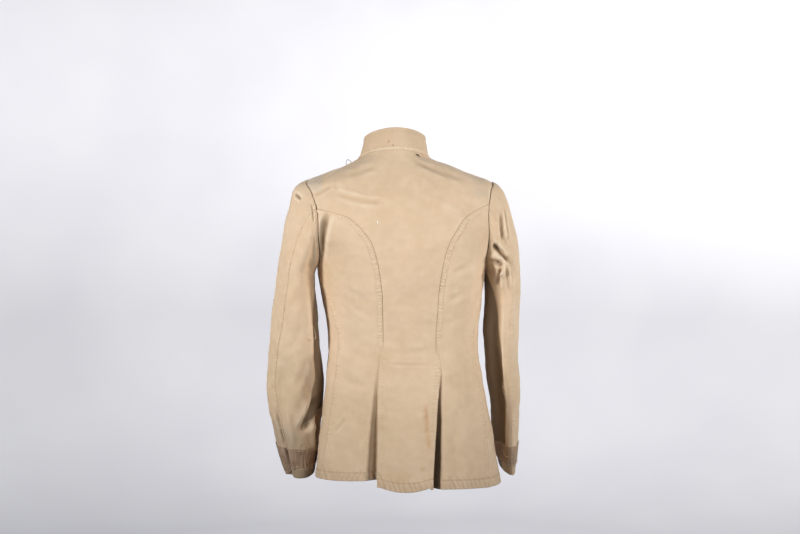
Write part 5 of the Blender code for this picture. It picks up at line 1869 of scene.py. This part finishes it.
def add_ring(wire, thread):
    """Wire ring: a half loop that stands on the shoulder, with thread wound round its two feet."""
    heights = np.linspace(ARMHOLE_TOP, NECK_SIDE, RING_PLACES)
    angle = np.full(RING_PLACES, -math.radians(RING_DEGREES))
    ridge = torso(angle, heights)
    nearest = int(np.argmin(np.abs(ridge[:, 0] - RING_OFFSET)))
    normal = outward(torso, angle, heights)[nearest]
    seat = ridge[nearest] + normal * RING_WIRE
    uphill = unit(ridge[nearest + 1] - ridge[nearest - 1])
    turn = np.linspace(0.0, math.pi, RING_STEPS)[:, None]
    path = seat + uphill * np.cos(turn) * RING_BREADTH / 2 + normal * np.sin(turn) * RING_RISE
    add_piece("shoulder_ring_wire", *tube(path, RING_WIRE), wire, "ring_wire", ("shoulder_ring_left",))
    wound = []
    for foot in (-1, 1):
        spin = np.linspace(0.0, RING_WINDS * 2 * math.pi, RING_WINDS * RING_WIND_STEPS)[:, None]
        climb = normal * (RING_WIND_RISE * spin / spin[-1] - RING_WIRE)
        aside = np.cross(uphill, normal)
        reach = RING_WIRE + STITCH_RADIUS
        coil = seat + uphill * foot * RING_BREADTH / 2 + climb
        coil = coil + reach * (np.cos(spin) * uphill + np.sin(spin) * aside)
        wound.append(tube(coil, STITCH_RADIUS, THREAD_SIDES))
    add_piece("shoulder_ring_thread", *joined(wound), thread)


def add_buttonholes(panel, thread):
    """Worked buttonholes: a thread bead round a narrow slot on the left front, from under each button."""
    loops = []
    turn = np.linspace(0.0, 2 * math.pi, HOLE_STEPS)
    for height in BUTTON_HEIGHTS:
        along = HOLE_START + HOLE_LENGTH * (1 - np.cos(turn)) / 2
        up = HOLE_HALF * np.sin(turn)
        angle = math.pi - along / reach_of(np.array(math.pi), np.array(height))
        surface = panel.surface(angle, height + up)
        normal = panel.sign * outward(panel.surface, angle, height + up)
        signed = panel.sign * angle
        lift = body_relief(torso(signed, height + up)) + HOLE_BEAD * HOLE_BEAD_OUT
        loops.append(tube(surface + lift[:, None] * normal, HOLE_BEAD, THREAD_SIDES))
    add_piece("buttonholes", *joined(loops), thread)


class Value:
    """A socket of a shader. Arithmetic on number sockets adds Math nodes."""

    def __init__(self, tree, socket):
        self.tree = tree
        self.socket = socket

    def math(self, operation, *items):
        """A Math node on some values or sockets."""
        node = self.tree.nodes.new("ShaderNodeMath")
        node.operation = operation
        for place, item in zip(node.inputs, items):
            connect(self.tree, place, item)
        return Value(self.tree, node.outputs[0])

    def sine(self):
        return self.math("SINE", self)

    def absolute(self):
        return self.math("ABSOLUTE", self)

    def __add__(self, other):
        return self.math("ADD", self, other)

    def __radd__(self, other):
        return self.math("ADD", other, self)

    def __sub__(self, other):
        return self.math("SUBTRACT", self, other)

    def __rsub__(self, other):
        return self.math("SUBTRACT", other, self)

    def __mul__(self, other):
        return self.math("MULTIPLY", self, other)

    def __rmul__(self, other):
        return self.math("MULTIPLY", other, self)


def connect(tree, place, item):
    """Links a socket to a place, or sets the place's own value."""
    if isinstance(item, Value):
        tree.links.new(item.socket, place)
    else:
        place.default_value = item


class Shader:
    """A new material whose nodes are made one by one and end in one Principled shader."""

    def __init__(self, name):
        self.material = bpy.data.materials.new(name)
        self.material.use_nodes = True
        self.tree = self.material.node_tree
        self.principled = self.tree.nodes["Principled BSDF"]

    def make(self, kind, settings, inputs, output=0):
        """One node of a type, with its settings and the values or links of its sockets."""
        node = self.tree.nodes.new(kind)
        for key, value in settings.items():
            setattr(node, key, value)
        for key, item in inputs.items():
            connect(self.tree, node.inputs[key], item)
        return Value(self.tree, node.outputs[output])

    def place(self):
        """Place of a point on its object."""
        return self.make("ShaderNodeTexCoord", {}, {}, "Object")

    def cloth(self):
        """Place of a point on the cloth laid flat: as one vector, across and along."""
        flat = self.make("ShaderNodeUVMap", {"uv_map": "cloth"}, {})
        parts = self.tree.nodes.new("ShaderNodeSeparateXYZ")
        connect(self.tree, parts.inputs[0], flat)
        return flat, Value(self.tree, parts.outputs[0]), Value(self.tree, parts.outputs[1])

    def stretched(self, vector, scale):
        """A vector with each part multiplied by its own scale."""
        return self.make("ShaderNodeVectorMath", {"operation": "MULTIPLY"}, {0: vector, 1: scale})

    def noise(self, place, scale, detail=3.0):
        """Cloudy noise of about 0 to 1."""
        return self.make("ShaderNodeTexNoise", {}, {"Vector": place, "Scale": scale, "Detail": detail})

    def range(self, value, low, high, bottom=0.0, top=1.0):
        """A value spread from low and high to bottom and top, and held between them."""
        inputs = {"Value": value, "From Min": low, "From Max": high, "To Min": bottom, "To Max": top}
        return self.make("ShaderNodeMapRange", {}, inputs)

    def mix(self, share, first, second):
        """One colour that turns into another as the share goes from 0 to 1; plain colours are as seen."""
        first, second = (linear(item) if isinstance(item, tuple) else item for item in (first, second))
        return self.make("ShaderNodeMix", {"data_type": "RGBA"}, {0: share, 6: first, 7: second}, 2)

    def tint(self, colour, value, row, tone):
        """A colour that turns towards a tone as a value goes through a tint's range."""
        low, high, strength = row
        return self.mix(self.range(value, low, high, 0.0, strength), colour, tone)

    def bump(self, row, height):
        """Normal of a surface with a height, from a bump's strength and distance."""
        strength, distance = row
        return self.make("ShaderNodeBump", {}, {"Strength": strength, "Distance": distance, "Height": height})

    def attribute(self, name):
        """A number that the mesh carries at each point."""
        return self.make("ShaderNodeAttribute", {"attribute_name": name}, {}, "Fac")

    def finish(self, settings):
        """The material, with the settings of its Principled shader."""
        for key, item in settings.items():
            connect(self.tree, self.principled.inputs[key], item)
        return self.material


def linear(colour):
    """Red, green and blue from 0 to 255 as seen, as a linear colour."""
    return tuple(((part / 255 + 0.055) / 1.055) ** 2.4 for part in colour) + (1.0,)


def drill_material():
    """Faded cotton drill: a diagonal twill in the bump, slubs along both threads, cloudy fading, lighter
    ridges, partly wear and partly painted highlight, darker troughs, partly soil and partly painted shade,
    rusty stains and unfaded patches. Felled seams and hems ripple as sines along them, with lighter ridges
    and darker grooves painted on the ripple; seam lines and hem lines are darker, and pleats, steep folds,
    sleeve undersides and cuffs carry painted shade."""
    shader = Shader("khaki_drill_cloth")
    place = shader.place()
    flat, across, along = shader.cloth()
    twill = ((across + along) * (2 * math.pi / TWILL_PITCH)).sine()
    warp = shader.noise(shader.stretched(flat, WARP_SCALE), 1.0, detail=2.0)
    weft = shader.noise(shader.stretched(flat, WEFT_SCALE), 1.0, detail=2.0)
    slubs = warp + weft - 1.0
    clouds = shader.noise(place, CLOUD_SCALE, detail=4.0)
    colour = shader.mix(shader.range(clouds, *CLOUD_RANGE), KHAKI_DEEP, KHAKI)
    colour = shader.tint(colour, shader.noise(place, MOTTLE_SCALE), MOTTLE_TINT, KHAKI_PALE)
    colour = shader.tint(colour, slubs, SLUB_TINT, KHAKI_PALE)
    colour = shader.mix(shader.attribute("unfaded"), colour, KHAKI_UNFADED)
    # Ridges of the relief lighter, partly wear and partly painted highlight; troughs darker, partly soil and
    # partly painted shade; the skirt darker towards its hem and the collar darker
    colour = shader.tint(colour, shader.attribute("worn"), LIGHTENED_TINT, KHAKI_LIGHTENED)
    colour = shader.tint(colour, shader.attribute("soiled"), DARKENED_TINT, KHAKI_DARKENED)
    colour = shader.mix(shader.attribute("stained"), colour, RUST_STAIN)
    seam_in = shader.attribute("seam_in")
    hem_up = shader.attribute("hem_up")
    wobble = WOBBLE * shader.noise(place, WOBBLE_SCALE, detail=2.0)
    seam_run = shader.attribute("seam_run") * (2 * math.pi / FELL_RIPPLE) + seam_in * FELL_LEAN + wobble
    hem_run = (across + HEM_LEAN * along) * (2 * math.pi / HEM_RIPPLE) + wobble
    depth = shader.range(shader.noise(place, RIPPLE_SCALE, detail=2.0), *RIPPLE_RANGE)
    felled = shader.attribute("fell") * shader.range(seam_in, *FELL_RANGE)
    hemmed = shader.range(hem_up, *HEM_RANGE)
    ripple = felled * depth * seam_run.sine() + hemmed * depth * hem_run.sine()
    seam_line = shader.attribute("line") * shader.range(seam_in, *SEAM_LINE_RANGE)
    hem_line = shader.range((hem_up - HEM_BREADTH).absolute(), *HEM_LINE_RANGE)
    # Ripple ridges painted lighter and ripple grooves darker, partly wear and soil, partly painted highlight
    # and shade
    colour = shader.tint(colour, ripple, RIDGE_TINT, KHAKI_LIGHTENED)
    colour = shader.tint(colour, ripple, GROOVE_TINT, KHAKI_DARKENED)
    colour = shader.mix(HEM_TINT * hemmed, colour, KHAKI_DARKENED)
    colour = shader.mix(LINE_TINT * hem_line, colour, KHAKI_DARKENED)
    colour = shader.mix(LINE_TINT * seam_line, colour, SEAM_SHADE)
    # Painted shade in pleats, steep folds, sleeve undersides and at the cuffs
    colour = shader.tint(colour, shader.attribute("deep"), PAINTED_SHADE_TINT, PLEAT_SHADE)
    grain = shader.noise(place, GRAIN_SCALE, detail=2.0)
    height = TWILL_BUMP * twill + slubs + GRAIN_BUMP * grain + RIPPLE_BUMP * ripple
    return shader.finish({
        "Base Color": colour, "Roughness": 0.92, "Normal": shader.bump(DRILL_BUMP, height),
        "Sheen Weight": 0.12, "Sheen Roughness": 0.5, "Specular IOR Level": 0.25,
    })


def braid_material():
    """Worsted braid: chevrons that meet at its middle line, faded in clouds, with paler ridges, partly wear and
    partly painted highlight, and painted light on the right braid.
    """
    shader = Shader("cuff_braid_weave")
    place = shader.place()
    _, across, up = shader.cloth()
    from_middle = (up - (BAND_TOP - BAND_BOTTOM) / 2).absolute()
    chevron = ((across + from_middle) * (2 * math.pi / BRAID_PITCH)).sine()
    clouds = shader.noise(place, BRAID_CLOUD_SCALE, detail=4.0)
    colour = shader.mix(shader.range(clouds, *BRAID_CLOUD_RANGE), BRAID_DEEP, BRAID_PALE)
    colour = shader.tint(colour, chevron, CHEVRON_TINT, BRAID_LIGHTENED)
    # Ridges lighter, partly wear and partly painted highlight, and the right braid lighter with painted light
    colour = shader.tint(colour, shader.attribute("worn"), BRAID_LIGHTENED_TINT, BRAID_LIGHTENED)
    height = chevron + BRAID_GRAIN_BUMP * shader.noise(place, BRAID_GRAIN_SCALE, detail=2.0)
    return shader.finish({
        "Base Color": colour, "Roughness": 0.95, "Normal": shader.bump(BRAID_BUMP, height),
        "Specular IOR Level": 0.2,
    })


def thread_material(name, deep, pale):
    """Sewing thread: two tones that vary along it, with a fine twist in the bump."""
    shader = Shader(name)
    place = shader.place()
    tone = shader.range(shader.noise(place, THREAD_SCALE, detail=2.0), *CLOUD_RANGE)
    bump = shader.bump(THREAD_BUMP, shader.noise(place, TWIST_SCALE))
    return shader.finish({"Base Color": shader.mix(tone, deep, pale), "Roughness": 0.85, "Normal": bump})


def metal_material(name, deep, pale, scale):
    """Dull old metal: two tones in clouds, rougher where it is dark, with fine pits in the bump."""
    shader = Shader(name)
    place = shader.place()
    share = shader.range(shader.noise(place, scale, detail=5.0), *METAL_RANGE)
    return shader.finish({
        "Base Color": shader.mix(share, deep, pale), "Metallic": 0.9,
        "Roughness": METAL_ROUGH - METAL_POLISH * share,
        "Normal": shader.bump(METAL_BUMP, shader.noise(place, PIT_SCALE)),
    })


def paper_material():
    """Pale backdrop paper with very faint clouds."""
    shader = Shader("backdrop_paper")
    clouds = shader.range(shader.noise(shader.place(), PAPER_SCALE, detail=2.0), *PAPER_RANGE)
    colour = shader.mix(clouds, PAPER_DEEP, PAPER_PALE)
    return shader.finish({"Base Color": colour, "Roughness": 1.0, "Specular IOR Level": 0.0})


def add_backdrop(material):
    """Round floor that sweeps up into a wall: a profile of a straight line, a quarter circle and a straight
    line, turned round the vertical, closed at the floor and open at the top."""
    bend = np.linspace(0.0, math.pi / 2, SWEEP_STEPS)
    reach = np.concatenate([[FLOOR_POLE], WALL_RADIUS - SWEEP + SWEEP * np.sin(bend), [WALL_RADIUS]])
    rise = np.concatenate([[FLOOR_Z], FLOOR_Z + SWEEP - SWEEP * np.cos(bend), [WALL_TOP]])
    turn = 2 * math.pi * np.arange(WALL_SEGMENTS) / WALL_SEGMENTS
    circle = np.stack([np.cos(turn), np.sin(turn), 0 * turn], axis=-1)
    points = reach[:, None, None] * circle + rise[:, None, None] * np.array([0.0, 0.0, 1.0])
    faces = ring_faces(len(reach), WALL_SEGMENTS)[:-1]
    backdrop = placed("backdrop", smooth_mesh("backdrop", points.reshape(-1, 3), faces, material))
    backdrop.visible_diffuse = False


def add_light(name, place, aim, size, spread, power, colour):
    """A square soft light at a place, turned towards its aim."""
    light = bpy.data.lights.new(name, "AREA")
    light.shape = "SQUARE"
    light.size = size
    light.spread = math.radians(spread)
    light.energy = power
    light.color = colour
    lamp = placed(name, light)
    lamp.location = place
    lamp.rotation_euler = (Vector(aim) - Vector(place)).to_track_quat("-Z", "Y").to_euler()


def add_stage():
    """Backdrop, soft lights, pale surroundings and the camera at the photograph's angle."""
    add_backdrop(paper_material())
    for row in LIGHTS:
        add_light(*row)
    world = bpy.data.worlds.new("studio")
    world.use_nodes = True
    background = world.node_tree.nodes["Background"]
    background.inputs["Color"].default_value = linear(SURROUND)
    background.inputs["Strength"].default_value = SURROUND_STRENGTH
    bpy.context.scene.world = world
    bpy.context.scene.view_settings.view_transform = "Standard"
    lens = bpy.data.cameras.new("photo_camera")
    lens.lens = CAMERA_LENS
    lens.sensor_width = CAMERA_SENSOR
    camera = placed("photo_camera", lens)
    camera.location = CAMERA_PLACE
    camera.rotation_euler = [math.radians(turn) for turn in CAMERA_DEGREES]
    bpy.context.scene.camera = camera


def edge_rows(panel, edge, first_level, last_level, distances):
    """Stitch rows that follow an edge of a panel at some distances inside it."""
    level = np.linspace(first_level, last_level, ROW_POINTS)
    return [sewn(panel, panel.share_in(edge, level, distance), level) for distance in distances]


def cross_rows(panel, levels):
    """Stitch rows across a panel from one edge to the other, at some levels."""
    share = np.linspace(*CROSS_ENDS, ROW_POINTS)
    return [sewn(panel, share, level + 0 * share) for level in levels]


def add_body(drill, thread, shadow_stitch_thread):
    """The five body panels with their sewing."""
    centre = back_centre_panel()
    run = body_run("back_centre")
    grid = panel_grid(centre, "back_centre", HEM_LEVEL, NECK_SIDE, run, run)
    cloth = (SHELL, drill, "khaki_drill")
    piece = add_cloth("back_centre", centre, grid, *cloth, "hung", ["collar"], body_tones)
    cut_slit(piece)
    add_slit_lip(thread)
    pulled, _ = on_back(PULLED_THREAD)
    white_thread = thread_material("white_thread", WHITE_THREAD_DEEP, WHITE_THREAD_PALE)
    add_piece("pulled_thread", *tube(pulled[::PULLED_STEP], PULLED_RADIUS), white_thread)
    back_runs = cross_rows(centre, HEM_ROWS)
    front_runs = []
    for edge, side in enumerate(SIGN):
        top = PLEAT[side]["top"]
        back_runs += edge_rows(centre, edge, HEM_LEVEL + ROW_GAP, top - PLEAT_ROW_SHORT, PLEAT_ROWS)
        flank = back_side_panel(side)
        tip = join_height(side)
        grid = panel_grid(flank, "back_side", HEM_LEVEL, tip - TIP_GAP, 0.0, 0.0)
        add_cloth(f"back_side_{side}", flank, grid, *cloth, "folded", ["back_centre"], body_tones)
        back_runs += edge_rows(flank, 0, top - FELL_ROW_BELOW, tip - FELL_ROW_SHORT, FELL_ROWS)
        back_runs += edge_rows(flank, 1, HEM_LEVEL + ROW_GAP, ARMHOLE_BOTTOM - ROW_WIDE_GAP, SIDE_ROWS)
        back_runs += cross_rows(flank, HEM_ROWS)
        front = front_cloth(side)
        grid = panel_grid(front, "front", HEM_LEVEL, NECK_SIDE, body_run("front"), 0.0)
        add_cloth(f"front_{side}", front, grid, *cloth, "hung", ["collar"], body_tones)
        front_runs += cross_rows(front, HEM_ROWS)
        front_runs += edge_rows(front, 1, HEM_LEVEL + ROW_WIDE_GAP, NECK_SIDE - ROW_GAP, FRONT_ROWS)
        back_runs += edge_rows(front, 0, ARMHOLE_TOP + ROW_WIDE_GAP, NECK_SIDE - ROW_GAP, SIDE_ROWS)
    add_stitches("stitches_back", back_runs, thread)
    add_stitches("stitches_front", front_runs, thread)
    # Stitch rows on the left shoulder, coloured dark as painted shadow of their stitch holes
    shoulder_runs = [stitched(*on_back(stops)) for stops in SHOULDER_ROWS]
    add_stitches("stitches_shoulder_left", shoulder_runs, shadow_stitch_thread)
    add_buttonholes(front_cloth("left"), thread)


def add_collar(drill, thread):
    """The collar with its sewing."""
    panel = collar_cloth()
    rows, columns = GRID["collar"]
    share, level = np.meshgrid(np.linspace(0.0, 1.0, columns), np.linspace(COLLAR_FOOT, 1.0, rows))
    cloth = (COLLAR_SHELL, drill, "khaki_drill")
    add_cloth("collar", panel, (share, level), *cloth, "folded", ["back_centre"], plain_tones)
    add_stitches("stitches_collar", cross_rows(panel, COLLAR_ROWS), thread)


def add_sleeve(side, drill, braid, thread):
    """The two pieces of a sleeve, its braid and its sewing."""
    runs = []
    for piece in ("upper", "under"):
        panel = sleeve_cloth(side, piece)
        run = TUCK_RUN if piece == "under" else 0.0
        grid = panel_grid(panel, "sleeve", 0.0, 1.0, run, run)
        name = f"sleeve_{piece}_{side}"
        add_cloth(name, panel, grid, SHELL, drill, "khaki_drill", "hung", [f"front_{side}"], plain_tones)
        if piece == "upper":
            runs += edge_rows(panel, 1, *SLEEVE_ROW_ENDS, SIDE_ROWS)
        runs += cross_rows(panel, ARMHOLE_ROWS)
    band_panel = braid_band(side)
    rows, columns = GRID["band"]
    share, level = np.meshgrid(np.linspace(0.0, BRAID_OVERLAP, columns), np.linspace(0.0, 1.0, rows))
    name = f"cuff_band_{side}"
    under = [f"sleeve_upper_{side}", f"sleeve_under_{side}"]
    add_cloth(name, band_panel, (share, level), BRAID_SHELL, braid, "cuff_braid", "laid", under, plain_tones)
    add_stitches(f"stitches_sleeve_{side}", runs, thread)
    add_stitches(f"stitches_band_{side}", cross_rows(band_panel, BRAID_ROWS), thread)
    add_loose_threads(side, thread)


def main():
    drill = drill_material()
    thread = thread_material("sewing_thread", THREAD_DEEP, THREAD_PALE)
    shadow_stitch_thread = thread_material("dark_sewing_thread", STITCH_SHADOW_DEEP, STITCH_SHADOW_PALE)
    braid = braid_material()
    bronze = metal_material("button_bronze_old", BRONZE_DEEP, BRONZE_PALE, BRONZE_SCALE)
    wire = metal_material("ring_wire_old", WIRE_DEEP, WIRE_PALE, WIRE_SCALE)
    add_body(drill, thread, shadow_stitch_thread)
    add_collar(drill, thread)
    for side in SIGN:
        add_sleeve(side, drill, braid, thread)
    for number, height in enumerate(BUTTON_HEIGHTS, 1):
        add_button(number, height, bronze)
    add_ring(wire, thread)
    add_stage()


main()
